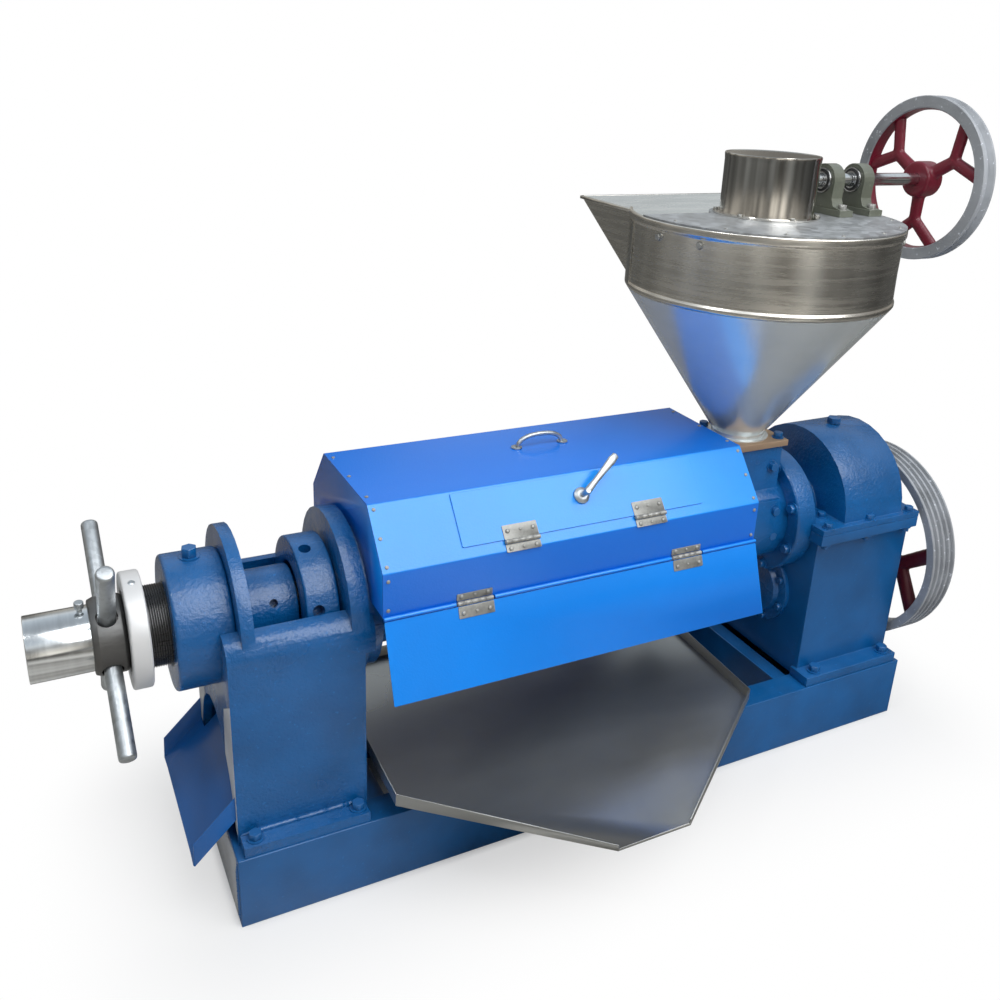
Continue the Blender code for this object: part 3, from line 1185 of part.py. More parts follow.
def plate_on(name, x, start, end, thickness):
    """Flat plate between two (y, z) lines, its outer face pushed out by its thickness."""
    run = (end - start).normalized()
    out = Vector((-run.y, run.x)) * thickness
    points = [tuple(start), tuple(end), tuple(end + out), tuple(start + out)]
    return section(name, points, x)


def make_door():
    """Inspection door on the front slope, its latch lever and hinges."""
    lift = GAP
    door = plate_on("inspection_door", DOOR_X, slope_point(DOOR_FOOT, lift),
                    slope_point(DOOR_HEAD, lift), SHEET)
    spindle = slope_point(LATCH_UP)
    normal = (slope_point(LATCH_UP, 1.0) - spindle).normalized()
    foot = Vector((LATCH_X, *(spindle - normal * 0.020)))
    tip = Vector((LATCH_X, *(spindle + normal * 0.050)))
    cut(door, rod("latch_hole", LATCH_HOLE, foot, tip, 24))
    paint(door, GUARD_BLUE)

    base = Vector((LATCH_X, *spindle))
    out = Vector((0, *normal))
    rise = Vector((0, *(slope_point(1.0) - slope_point(0.0))))
    face = lift + SHEET + GAP
    radius, height = LATCH_ROSE
    latch = rod("latch_lever", radius, base + out * face, base + out * (face + height), 32)
    radius, height = LATCH_STEM
    long, wide, thick = LATCH_CAM
    depth = LATCH_CAM_DEPTH
    stem = rod("latch_stem", radius, base - out * (depth + thick), base + out * height, 24)
    way = (Vector((1, 0, 0)) * 0.78 + rise * 0.60 + out * 0.14).normalized()
    root = base + out * LEVER_ROOT
    thin, fat = LEVER_RADII
    grip = rod("latch_grip", thin, root, root + way * LEVER_LENGTH, 16, fat)
    cam = block("latch_cam", (-wide, long), (-wide, wide), (-thick / 2, thick / 2))
    cam.rotation_euler = (math.atan2(rise.z, rise.y), 0, 0)
    cam.location = Vector((LATCH_X + (long - wide) / 2, *(spindle - normal * depth)))
    paint(join(latch, stem, grip, cam), ZINC)

    for index, x in enumerate(DOOR_HINGES):
        pin = slope_point(DOOR_FOOT - HINGE_PIN - GAP, HINGE_PIN + GAP)
        leaf_head = slope_point(DOOR_FOOT - HINGE_PIN, GAP)
        leaf_foot = slope_point(SHEET / 2, GAP)
        hinge(f"door_hinge_{index + 1}", x, pin, leaf_foot, leaf_head)


def hinge(name, x, pin, leaf_start, leaf_end):
    """Hinge barrel with its fixed leaf."""
    span = (x - HINGE_LENGTH / 2, x + HINGE_LENGTH / 2)
    knuckle = rod(name, HINGE_PIN, (span[0], *pin), (span[1], *pin), 16)
    leaf = plate_on(f"{name}_leaf", span, leaf_start, leaf_end, LEAF_THICK)
    return paint(join(knuckle, leaf), GALVANISED)


def make_flap():
    """Hanging front flap and its hinges."""
    foot = (Vector((-FLAP_FOOT[0], FLAP_FOOT[1])) - flap_axis()).length
    edges = [flap_point(down, -SHEET / 2) for down in (foot, HINGE_PIN + GAP)]
    flap = plate_on("front_flap", GUARD_X, *edges, SHEET)
    paint(flap, GUARD_BLUE)
    y = -GUARD_FOLD[0] - GAP
    for index, x in enumerate(FLAP_HINGES):
        low = Vector((y, GUARD_SIDE_FOOT))
        high = Vector((y, GUARD_SIDE_FOOT + HINGE_LEAF))
        hinge(f"flap_hinge_{index + 1}", x, flap_axis(), low, high)


def make_handle():
    """Bent wire lifting handle on top of the guard."""
    shape = bpy.data.curves.new("lift_handle", "CURVE")
    shape.dimensions = "3D"
    shape.bevel_depth = HANDLE_WIRE
    shape.bevel_resolution = 2
    shape.use_fill_caps = True
    line = shape.splines.new("POLY")
    points = [(-along, up) for along, up in HANDLE_BOW] + list(reversed(HANDLE_BOW))
    line.points.add(len(points) - 1)
    for point, (along, up) in zip(line.points, points):
        point.co = (along, 0.0, up, 1.0)
    handle = add_object("lift_handle", shape, (*HANDLE_PLACE, GUARD_TOP[1] + GAP))
    return paint(handle, ZINC)


def make_pan():
    """Sloping oil pan with turned-up sides and an open lip at the front."""
    rear, side, lip = PAN_Y
    low_x, high_x = PAN_SIDE_X
    plan = [(PAN_LIP_X[0], lip), (low_x, side), (low_x, rear), (high_x, rear), (high_x, side),
            (PAN_LIP_X[1], lip)]
    points = [(x, y, pan_level(y)) for x, y in plan]
    points += [(x, y, pan_level(y) + (PAN_WALL if y > lip else PAN_LIP_WALL)) for x, y in plan]
    count = len(plan)
    faces = [tuple(reversed(range(count)))]
    faces += [(index, index + 1, count + index + 1, count + index) for index in range(count - 1)]
    pan = sheet("oil_pan", points, faces, PAN_SHEET)
    return paint(pan, PAN_STEEL)


def main():
    """Build the whole press."""
    clear_scene()
    make_base()
    make_stand()
    make_chute()
    make_collar()
    make_adjusting_gear()
    make_cage_sleeves()
    make_shaft()
    make_worms()
    make_barrel()
    make_feed_housing()
    make_hopper()
    make_bevel_can()
    make_pillow_blocks()
    make_agitator()
    make_bevel_gears()
    make_gears()
    make_gearbox()
    make_bearing_covers()
    make_pulleys()
    make_guard()
    make_door()
    make_flap()
    make_handle()
    make_pan()


main()
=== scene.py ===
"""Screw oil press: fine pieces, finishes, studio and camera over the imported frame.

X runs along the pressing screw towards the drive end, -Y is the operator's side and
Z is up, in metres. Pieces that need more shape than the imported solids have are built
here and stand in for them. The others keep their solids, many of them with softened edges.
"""
import logging
import math
from dataclasses import dataclass
from enum import Enum
from typing import Iterable, Optional, Sequence

import bmesh
import bpy
from mathutils import Matrix, Vector, noise


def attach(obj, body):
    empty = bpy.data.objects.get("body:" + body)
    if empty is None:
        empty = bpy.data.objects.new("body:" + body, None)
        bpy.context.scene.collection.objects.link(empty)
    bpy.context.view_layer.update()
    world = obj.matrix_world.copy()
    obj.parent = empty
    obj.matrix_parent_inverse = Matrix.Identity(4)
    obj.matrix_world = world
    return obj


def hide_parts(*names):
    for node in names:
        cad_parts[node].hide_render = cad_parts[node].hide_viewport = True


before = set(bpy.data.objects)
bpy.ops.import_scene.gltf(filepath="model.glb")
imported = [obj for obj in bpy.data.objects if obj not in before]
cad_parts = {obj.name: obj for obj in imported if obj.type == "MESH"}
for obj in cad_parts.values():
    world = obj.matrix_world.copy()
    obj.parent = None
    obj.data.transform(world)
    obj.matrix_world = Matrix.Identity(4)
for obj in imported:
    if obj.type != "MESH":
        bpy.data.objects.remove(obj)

LOG = logging.getLogger("oil_press")
Pair = tuple[float, float]
Colour = tuple[float, float, float]

# Metres: room between faces that must not touch, and lengths that count as nothing
GAP = 0.0003
NO_LENGTH = 1e-6
NO_RADIUS = 1e-7

# Degrees: edges that stay hard on new pieces and on kept solids, edges that are rounded, and
# corners that count as straight
HARD_EDGE = 35.0
KEPT_EDGE = 32.0
SOFT_EDGE = 40.0
STRAIGHT = 172.0

# Largest share of a side that the rounding of one corner takes
CORNER_SHARE = 0.45

# Facets round turned pieces that the photo shows large, and round the hopper and the wheels
ROUND = 128
WIDE_ROUND = 160


# Mesh tools


class Axis(Enum):
    """Direction that a turned piece lies along."""

    X = "x"
    Z = "z"


class Head(Enum):
    """Head of a fastener."""

    HEX = "hex"
    DOME = "dome"
    PAN = "pan"


HEAD_HEIGHT = {Head.HEX: 1.25, Head.DOME: 0.75, Head.PAN: 0.6}


def place_object(name: str, data: bpy.types.ID) -> bpy.types.Object:
    """Make an object of some data and link it to the scene.

    Args:
        name: the object's name.
        data: its mesh, curve, lamp or camera.

    Returns:
        The new object.
    """
    item = bpy.data.objects.new(name, data)
    bpy.context.scene.collection.objects.link(item)
    return item


def shade(data: bpy.types.Mesh, sharp: float) -> None:
    """Shade a mesh smooth between edges sharper than an angle."""
    data.shade_smooth()
    data.set_sharp_from_angle(angle=math.radians(sharp))


def add_piece(name: str, bm: bmesh.types.BMesh, sharp: float = HARD_EDGE) -> bpy.types.Object:
    """Make an object of the scene from a bmesh.

    Args:
        name: the piece's name.
        bm: its faces, in the row frame; freed here.
        sharp: faces that meet at more than this angle keep a hard edge.

    Returns:
        The new object, with smooth shading between hard edges.
    """
    bmesh.ops.recalc_face_normals(bm, faces=bm.faces)
    data = bpy.data.meshes.new(name)
    bm.to_mesh(data)
    bm.free()
    piece = place_object(name, data)
    shade(data, sharp)
    return piece


def skin_rows(bm: bmesh.types.BMesh, rows: Sequence[Sequence[bmesh.types.BMVert]], closed: bool) -> None:
    """Add faces between rows of corners, all with the same number of corners.

    Args:
        bm: the mesh that holds the corners.
        rows: the rows, in order.
        closed: whether each row joins up and the first and last row get an end face.
    """
    count = len(rows[0])
    for row, following in zip(rows, rows[1:]):
        for index in range(count if closed else count - 1):
            after = (index + 1) % count
            bm.faces.new((row[index], row[after], following[after], following[index]))
    if closed:
        bm.faces.new(rows[0])
        bm.faces.new(rows[-1])


def stand_at(piece: bpy.types.Object, at: Vector, out: Vector) -> bpy.types.Object:
    """Turn a piece that was made along Z to a direction and move it to a point.

    Args:
        piece: the piece, made from the origin up.
        at: where its origin goes.
        out: the direction that its Z turns to.

    Returns:
        The same piece.
    """
    turn = out.to_track_quat("Z", "Y").to_matrix().to_4x4()
    piece.data.transform(Matrix.Translation(at) @ turn)
    return piece


def spoke(degrees: float) -> Vector:
    """Direction across the press at an angle above the operator's side."""
    turn = math.radians(degrees)
    return Vector((0, -math.cos(turn), math.sin(turn)))


def around(middle: Pair, radius: float, degrees: Iterable[float]) -> list[Pair]:
    """Points on a circle at some angles."""
    turns = [math.radians(turn) for turn in degrees]
    return [(middle[0] + radius * math.cos(turn), middle[1] + radius * math.sin(turn)) for turn in turns]


def settle(piece: bpy.types.Object, sharp: float = HARD_EDGE) -> None:
    """Apply every modifier of a piece and shade it again.

    Args:
        piece: the object whose modifiers are applied.
        sharp: angle of the hard edges afterwards.
    """
    bpy.context.view_layer.update()
    graph = bpy.context.evaluated_depsgraph_get()
    data = bpy.data.meshes.new_from_object(piece.evaluated_get(graph))
    old = piece.data
    piece.modifiers.clear()
    piece.data = data
    bpy.data.meshes.remove(old)
    shade(data, sharp)


def carve(piece: bpy.types.Object, operation: str, tools: Sequence[bpy.types.Object],
          sharp: float = HARD_EDGE) -> None:
    """Cut shapes from a piece, or join them to it, and drop the shapes.

    Args:
        piece: the object to change.
        operation: DIFFERENCE or UNION.
        tools: the shapes, which are removed afterwards.
        sharp: angle of the hard edges afterwards.
    """
    for tool in tools:
        step = piece.modifiers.new(tool.name, "BOOLEAN")
        step.operation = operation
        step.solver = "EXACT"
        step.object = tool
    settle(piece, sharp)
    for tool in tools:
        bpy.data.objects.remove(tool, do_unlink=True)


def soften(piece: bpy.types.Object, width: float, segments: int = 3) -> bpy.types.Object:
    """Round the sharp edges of a piece.

    Args:
        piece: the object.
        width: width of the rounding.
        segments: facets across the rounding.

    Returns:
        The same object.
    """
    bevel = piece.modifiers.new("soft_edges", "BEVEL")
    bevel.width = width
    bevel.segments = segments
    bevel.limit_method = "ANGLE"
    bevel.angle_limit = math.radians(SOFT_EDGE)
    bevel.harden_normals = True
    return piece


def round_corners(points: Sequence[Pair], radius: float, closed: bool = True,
                  steps: int = 3) -> list[Pair]:
    """Round the corners of a flat line.

    Args:
        points: corners of the line.
        radius: largest radius of a corner.
        closed: whether the last point joins the first.
        steps: facets of each corner.

    Returns:
        The longer list of points.
    """
    count = len(points)
    out: list[Pair] = []
    for index, point in enumerate(points):
        here = Vector(point)
        if not closed and index in (0, count - 1):
            out.append((here.x, here.y))
            continue
        before = Vector(points[index - 1]) - here
        after = Vector(points[(index + 1) % count]) - here
        turn = before.angle(after, math.pi)
        if turn > math.radians(STRAIGHT) or min(before.length, after.length) < NO_LENGTH:
            out.append((here.x, here.y))
            continue
        reach = min(radius / math.tan(turn / 2), CORNER_SHARE * before.length,
                    CORNER_SHARE * after.length)
        start = here + before.normalized() * reach
        end = here + after.normalized() * reach
        for step in range(steps + 1):
            share = step / steps
            mid = (1 - share) ** 2 * start + 2 * share * (1 - share) * here + share ** 2 * end
            out.append((mid.x, mid.y))
    return out


def lathe(name: str, profile: Sequence[Pair], at: Sequence[float], axis: Axis = Axis.X,
          closed: bool = True, segments: int = 96, sharp: float = HARD_EDGE) -> bpy.types.Object:
    """Turn a profile about an axis.

    Args:
        name: the piece's name.
        profile: (radius, height) pairs; the height runs along the axis.
        at: place of height zero, in the row frame.
        axis: direction of the axis.
        closed: whether the last pair joins the first.
        segments: facets round the axis.
        sharp: angle of the hard edges.

    Returns:
        The turned piece.
    """
    bm = bmesh.new()
    rows = []
    for radius, height in profile:
        count = 1 if radius < NO_RADIUS else segments
        row = []
        for index in range(count):
            turn = math.tau * index / segments
            across, up = radius * math.cos(turn), radius * math.sin(turn)
            if axis is Axis.X:
                place = (at[0] + height, at[1] + across, at[2] + up)
            else:
                place = (at[0] + across, at[1] + up, at[2] + height)
            row.append(bm.verts.new(place))
        rows.append(row)
    for row, following in zip(rows, rows[1:] + rows[:1] if closed else rows[1:]):
        for index in range(segments):
            after = (index + 1) % segments
            corners = [row[index % len(row)], row[after % len(row)],
                       following[after % len(following)], following[index % len(following)]]
            unique = list(dict.fromkeys(corners))
            if len(unique) > 2:
                bm.faces.new(unique)
    return add_piece(name, bm, sharp)


def bar(name: str, start: Sequence[float], end: Sequence[float], radius: float,
        crown: float = 0.0, segments: int = 32) -> bpy.types.Object:
    """Round bar between two points, with rounded ends where a crown is given.

    Args:
        name: the piece's name.
        start: centre of one end.
        end: centre of the other end.
        radius: the bar's radius.
        crown: radius of the rounding at its ends.
        segments: facets round the bar.

    Returns:
        The bar.
    """
    start, end = Vector(start), Vector(end)
    length = (end - start).length
    corners = [(0.0, 0.0), (radius, 0.0), (radius, length), (0.0, length)]
    profile = round_corners(corners, crown, closed=False, steps=5) if crown else corners
    piece = lathe(name, profile, (0, 0, 0), Axis.Z, closed=False, segments=segments)
    return stand_at(piece, start, end - start)


def slab(name: str, outline: Sequence[Pair], thickness: float, place: Matrix,
         edge: float = 0.0, segments: int = 2) -> bpy.types.Object:
    """Flat plate from an outline in its own plane.

    Args:
        name: the piece's name.
        outline: corners in the plate's plane.
        thickness: thickness along its normal, from zero upwards.
        place: moves the plate into the row frame.
        edge: width of its rounded edges.
        segments: facets across each rounded edge.

    Returns:
        The plate.
    """
    bm = bmesh.new()
    face = bm.faces.new([bm.verts.new((u, v, 0.0)) for u, v in outline])
    pushed = bmesh.ops.extrude_face_region(bm, geom=[face])
    moved = [item for item in pushed["geom"] if isinstance(item, bmesh.types.BMVert)]
    bmesh.ops.translate(bm, vec=(0, 0, thickness), verts=moved)
    bmesh.ops.transform(bm, matrix=place, verts=bm.verts)
    piece = add_piece(name, bm)
    return soften(piece, edge, segments) if edge else piece


def box_piece(name: str, x: Pair, y: Pair, z: Pair, edge: float = 0.0) -> bpy.types.Object:
    """Block between two limits on each axis.

    Args:
        name: the piece's name.
        x: limits along X.
        y: limits along Y.
        z: limits along Z.
        edge: width of its rounded edges.

    Returns:
        The block.
    """
    outline = [(x[0], y[0]), (x[1], y[0]), (x[1], y[1]), (x[0], y[1])]
    return slab(name, outline, z[1] - z[0], Matrix.Translation((0, 0, z[0])), edge)


def plane_at(origin: Sequence[float], across: Sequence[float], up: Sequence[float]) -> Matrix:
    """Matrix of a plane from its origin and its two directions.

    Args:
        origin: the plane's origin.
        across: its first direction.
        up: its second direction, squared to the first.

    Returns:
        The matrix that moves flat points onto the plane.
    """
    first = Vector(across).normalized()
    normal = first.cross(Vector(up)).normalized()
    second = normal.cross(first)
    rows = Matrix((first, second, normal)).transposed().to_4x4()
    return Matrix.Translation(Vector(origin)) @ rows


def cross_plane(x: float) -> Matrix:
    """Plane across the press at x, its first direction to the rear and its second up."""
    return plane_at((x, 0, 0), (0, 1, 0), (0, 0, 1))


def merge(name: str, parts: Sequence[bpy.types.Object]) -> bpy.types.Object:
    """Join loose pieces into one object with the given name.

    Args:
        name: name of the joined piece.
        parts: the pieces, which are removed.

    Returns:
        One object with all their faces.
    """
    bpy.context.view_layer.update()
    graph = bpy.context.evaluated_depsgraph_get()
    bm = bmesh.new()
    for part in parts:
        data = bpy.data.meshes.new_from_object(part.evaluated_get(graph))
        data.transform(part.matrix_world)
        bm.from_mesh(data)
        bpy.data.meshes.remove(data)
    for part in parts:
        bpy.data.objects.remove(part, do_unlink=True)
    return add_piece(name, bm)


def fastener(name: str, at: Sequence[float], out: Sequence[float], size: float,
             head: Head = Head.HEX, height: float = 0.0, washer: bool = True,
             sink: float = 0.001) -> bpy.types.Object:
    """One bolt, screw or rivet head standing on a face.

    Args:
        name: the piece's name.
        at: centre of its seat.
        out: normal of the face.
        size: half the width across the head.
        head: shape of the head.
        height: height of the head; about its usual share of the size if zero.
        washer: whether a washer lies under a hexagon.
        sink: how far its foot stands in the face.

    Returns:
        The head, in the row frame.
    """
    height = height or HEAD_HEIGHT[head] * size
    parts = []
    if head is Head.HEX:
        base = 0.0
        if washer:
            base = size * 0.22
            ring = [(0.0, -sink), (size * 1.45, -sink), (size * 1.45, base), (0.0, base)]
            parts.append(lathe(name, ring, (0, 0, 0), Axis.Z, closed=False, segments=24))
        reach = size * 1.12
        turns = [math.tau * side / 6 + 0.3 for side in range(6)]
        corners = [(reach * math.cos(turn), reach * math.sin(turn)) for turn in turns]
        parts.append(slab(name, corners, height, Matrix.Translation((0, 0, base - sink)), size * 0.10))
    else:
        crown = 0.92 if head is Head.DOME else 0.5
        profile = [(0.0, -sink), (size, -sink), (size, height * 0.15), (size * crown, height * 0.62),
                   (size * 0.5, height * 0.93), (0.0, height)]
        parts.append(lathe(name, profile, (0, 0, 0), Axis.Z, closed=False, segments=20, sharp=60))
    return stand_at(merge(name, parts), Vector(at), Vector(out))


def weld_bead(name: str, start: Sequence[float], end: Sequence[float], radius: float,
              seed: float) -> bpy.types.Object:
    """Rippled weld bead along a straight joint.

    Args:
        name: the piece's name.
        start: one end of the joint.
        end: the other end.
        radius: radius of the bead.
        seed: offset of its irregular ripples.

    Returns:
        The bead.
    """
    start, end = Vector(start), Vector(end)
    length = (end - start).length
    count = max(6, int(length / (radius * 0.7)))
    profile = [(0.0, 0.0)]
    for index in range(count + 1):
        share = index / count
        ripple = 0.80 + 0.20 * noise.noise(Vector((index * 0.9, seed, 0.0))) + 0.14 * (index % 2)
        swell = min(1.0, 6 * share + 0.3, 6 * (1 - share) + 0.3)
        profile.append((radius * ripple * swell, length * share))
    profile.append((0.0, length))
    piece = lathe(name, profile, (0, 0, 0), Axis.Z, closed=False, segments=10, sharp=80)
    return stand_at(piece, start, end - start)


# Shader tools


class Graph:
    """Short way to place and wire nodes in one node tree."""

    def __init__(self, tree: bpy.types.NodeTree) -> None:
        """Keep the tree that the nodes go in."""
        self.tree = tree

    def join(self, source: bpy.types.NodeSocket, target: bpy.types.NodeSocket) -> None:
        """Wire an output to an input."""
        self.tree.links.new(source, target)

    def add(self, kind: str, inputs: Optional[dict] = None, **settings: object) -> bpy.types.Node:
        """Place a node.

        Args:
            kind: its type without the ShaderNode prefix.
            inputs: socket names or numbers, each with a value or an output to wire.
            **settings: properties of the node.

        Returns:
            The node.
        """
        node = self.tree.nodes.new("ShaderNode" + kind)
        for key, value in settings.items():
            setattr(node, key, value)
        for key, value in (inputs or {}).items():
            if isinstance(value, bpy.types.NodeSocket):
                self.join(value, node.inputs[key])
            else:
                node.inputs[key].default_value = value
        return node

    def math(self, operation: str, first: object, second: object = 0.0) -> bpy.types.NodeSocket:
        """Result of a sum on one or two values."""
        return self.add("Math", {0: first, 1: second}, operation=operation).outputs[0]

    def lift(self, base: object, value: object, share: object) -> bpy.types.NodeSocket:
        """Base plus a share of a value."""
        return self.math("ADD", self.math("MULTIPLY", value, share), base)

    def facing_up(self) -> bpy.types.NodeSocket:
        """How far a face looks up, from -1 to 1."""
        normal = self.add("NewGeometry").outputs["Normal"]
        return self.add("SeparateXYZ", {0: normal}).outputs[2]

    def ramp(self, value: bpy.types.NodeSocket, low: float, high: float) -> bpy.types.NodeSocket:
        """Value spread from low..high to 0..1 and held there."""
        node = self.add("MapRange", {"Value": value, "From Min": low, "From Max": high}, clamp=True)
        return node.outputs[0]

    def blend(self, share: object, first: object, second: object) -> bpy.types.NodeSocket:
        """Colour between two colours.

        Args:
            share: share of the second colour.
            first: the colour at a share of zero.
            second: the colour at a share of one.

        Returns:
            The mixed colour.
        """
        node = self.add("Mix", data_type="RGBA")
        sockets = (node.inputs[0], node.inputs[6], node.inputs[7])
        for socket, value in zip(sockets, (share, first, second)):
            if isinstance(value, bpy.types.NodeSocket):
                self.join(value, socket)
            else:
                socket.default_value = (*value, 1.0) if isinstance(value, tuple) else value
        return node.outputs[2]

    def noise(self, scale: object, detail: float = 3.0, rough: float = 0.5,
              vector: Optional[bpy.types.NodeSocket] = None) -> bpy.types.NodeSocket:
        """Noise over the object's own coordinates, or over a given vector.

        Args:
            scale: its scale.
            detail: how many finer layers it has.
            rough: how strong the finer layers are.
            vector: the vector that it is read over.

        Returns:
            The noise value, 0..1.
        """
        place = vector or self.add("TexCoord").outputs["Object"]
        node = self.add("TexNoise", {"Vector": place, "Scale": scale, "Detail": detail, "Roughness": rough})
        return node.outputs[0]


class Effect(Enum):
    """Shared surface effects, each a node group."""

    CAST_SKIN = "cast_skin"
    PAINT_FILM = "paint_film"
    BRUSH_MARKS = "brush_marks"
    SPANGLE = "spangle"
    SETTLED_DUST = "settled_dust"
    GRIME = "grime"
    # Painted light and shade, set by how far a face looks up
    PAINTED_SLOPE_LIGHT = "painted_slope_light"


def new_group(effect: Effect, inputs: dict[str, object], outputs: Sequence[str]
              ) -> tuple[Graph, bpy.types.Node, bpy.types.Node]:
    """Start a node group.

    Args:
        effect: which effect it makes.
        inputs: names and defaults; a tuple makes a vector.
        outputs: names of its values.

    Returns:
        Its graph, its input node and its output node.
    """
    tree = bpy.data.node_groups.new(effect.value, "ShaderNodeTree")
    for name, default in inputs.items():
        kind = "NodeSocketVector" if isinstance(default, tuple) else "NodeSocketFloat"
        socket = tree.interface.new_socket(name=name, in_out="INPUT", socket_type=kind)
        socket.default_value = default
    for name in outputs:
        tree.interface.new_socket(name=name, in_out="OUTPUT", socket_type="NodeSocketFloat")
    graph = Graph(tree)
    return graph, tree.nodes.new("NodeGroupInput"), tree.nodes.new("NodeGroupOutput")


def build_cast_skin() -> None:
    """Sand-cast surface: grit, soft lumps and a slow change of shade."""
    inputs = {"Scale": 160.0, "Grit": 1.0}
    graph, given, result = new_group(Effect.CAST_SKIN, inputs, ("Height", "Shade"))
    fine = graph.noise(given.outputs["Scale"], 3.0, 0.6)
    lumps = graph.noise(graph.math("MULTIPLY", given.outputs["Scale"], 0.22), 2.0)
    grit = graph.math("MULTIPLY", fine, given.outputs["Grit"])
    height = graph.math("ADD", grit, lumps)
    shade = graph.ramp(graph.noise(7.0, 3.0), 0.3, 0.7)
    graph.join(height, result.inputs["Height"])
    graph.join(shade, result.inputs["Shade"])


def build_paint_film() -> None:
    """Sprayed enamel: faint orange peel and slow shade."""
    graph, given, result = new_group(Effect.PAINT_FILM, {"Scale": 220.0}, ("Height", "Shade"))
    peel = graph.noise(given.outputs["Scale"], 1.0)
    sway = graph.noise(5.0, 1.0)
    graph.join(graph.lift(peel, sway, 2.5), result.inputs["Height"])
    graph.join(graph.ramp(graph.noise(4.0, 4.0), 0.3, 0.7), result.inputs["Shade"])


def build_brush_marks() -> None:
    """Fine streaks drawn out along one direction."""
    inputs = {"Scale": 30.0, "Stretch": (1.0, 1.0, 12.0)}
    graph, given, result = new_group(Effect.BRUSH_MARKS, inputs, ("Height", "Streak"))
    place = graph.add("TexCoord").outputs["Object"]
    drawn = graph.add("VectorMath", {0: place, 1: given.outputs["Stretch"]}, operation="MULTIPLY")
    streak = graph.noise(given.outputs["Scale"], 4.0, 0.65, drawn.outputs[0])
    graph.join(streak, result.inputs["Height"])
    graph.join(graph.ramp(streak, 0.3, 0.7), result.inputs["Streak"])


def build_spangle() -> None:
    """Zinc crystals of different shade."""
    graph, given, result = new_group(Effect.SPANGLE, {"Scale": 90.0}, ("Cell", "Height"))
    place = graph.add("TexCoord").outputs["Object"]
    cells = graph.add("TexVoronoi", {"Vector": place, "Scale": given.outputs["Scale"]})
    grey = graph.add("RGBToBW", {0: cells.outputs["Color"]}).outputs[0]
    graph.join(grey, result.inputs["Cell"])
    fine = graph.math("MULTIPLY", given.outputs["Scale"], 3.0)
    graph.join(graph.noise(fine), result.inputs["Height"])


def build_settled_dust() -> None:
    """Dust that lies thicker on faces that look up."""
    graph, given, result = new_group(Effect.SETTLED_DUST, {"Amount": 0.3, "Scale": 18.0}, ("Dust",))
    lying = graph.ramp(graph.facing_up(), 0.2, 1.0)
    patch = graph.ramp(graph.noise(given.outputs["Scale"], 5.0, 0.65), 0.35, 0.75)
    dust = graph.math("MULTIPLY", graph.math("MULTIPLY", lying, patch), given.outputs["Amount"])
    graph.join(dust, result.inputs["Dust"])


def build_grime() -> None:
    """Patches of rubbed-in dirt and small specks."""
    graph, given, result = new_group(Effect.GRIME, {"Amount": 0.5, "Scale": 12.0}, ("Patch", "Speck"))
    wide = graph.ramp(graph.noise(given.outputs["Scale"], 2.0, 0.5), 0.46, 0.74)
    specks = graph.noise(graph.math("MULTIPLY", given.outputs["Scale"], 14.0), 2.0)
    patch = graph.math("MULTIPLY", wide, given.outputs["Amount"])
    speck = graph.math("MULTIPLY", graph.ramp(specks, 0.66, 0.74), given.outputs["Amount"])
    graph.join(patch, result.inputs["Patch"])
    graph.join(speck, result.inputs["Speck"])


def build_painted_slope_light() -> None:
    """Painted light and shade: colour made lightest on slopes and darker on upright and level faces."""
    graph, _, result = new_group(Effect.PAINTED_SLOPE_LIGHT, {}, ("Fade",))
    up = graph.facing_up()
    rise = graph.ramp(up, -0.05, 0.55)
    fall = graph.math("MULTIPLY", graph.ramp(up, 0.70, 1.0), 0.80)
    graph.join(graph.math("SUBTRACT", rise, fall), result.inputs["Fade"])


def build_effects() -> None:
    """Build each shared effect once."""
    for effect in (build_cast_skin, build_paint_film, build_brush_marks, build_spangle,
                   build_settled_dust, build_grime, build_painted_slope_light):
        effect()


def effect_node(graph: Graph, effect: Effect, **values: object) -> bpy.types.Node:
    """Place a shared effect in a material with its own values.

    Args:
        graph: the material's graph.
        effect: which effect.
        **values: the effect's inputs by name.

    Returns:
        The group node.
    """
    node = graph.add("Group", node_tree=bpy.data.node_groups[effect.value])
    for key, value in values.items():
        node.inputs[key].default_value = value
    return node


# Finishes


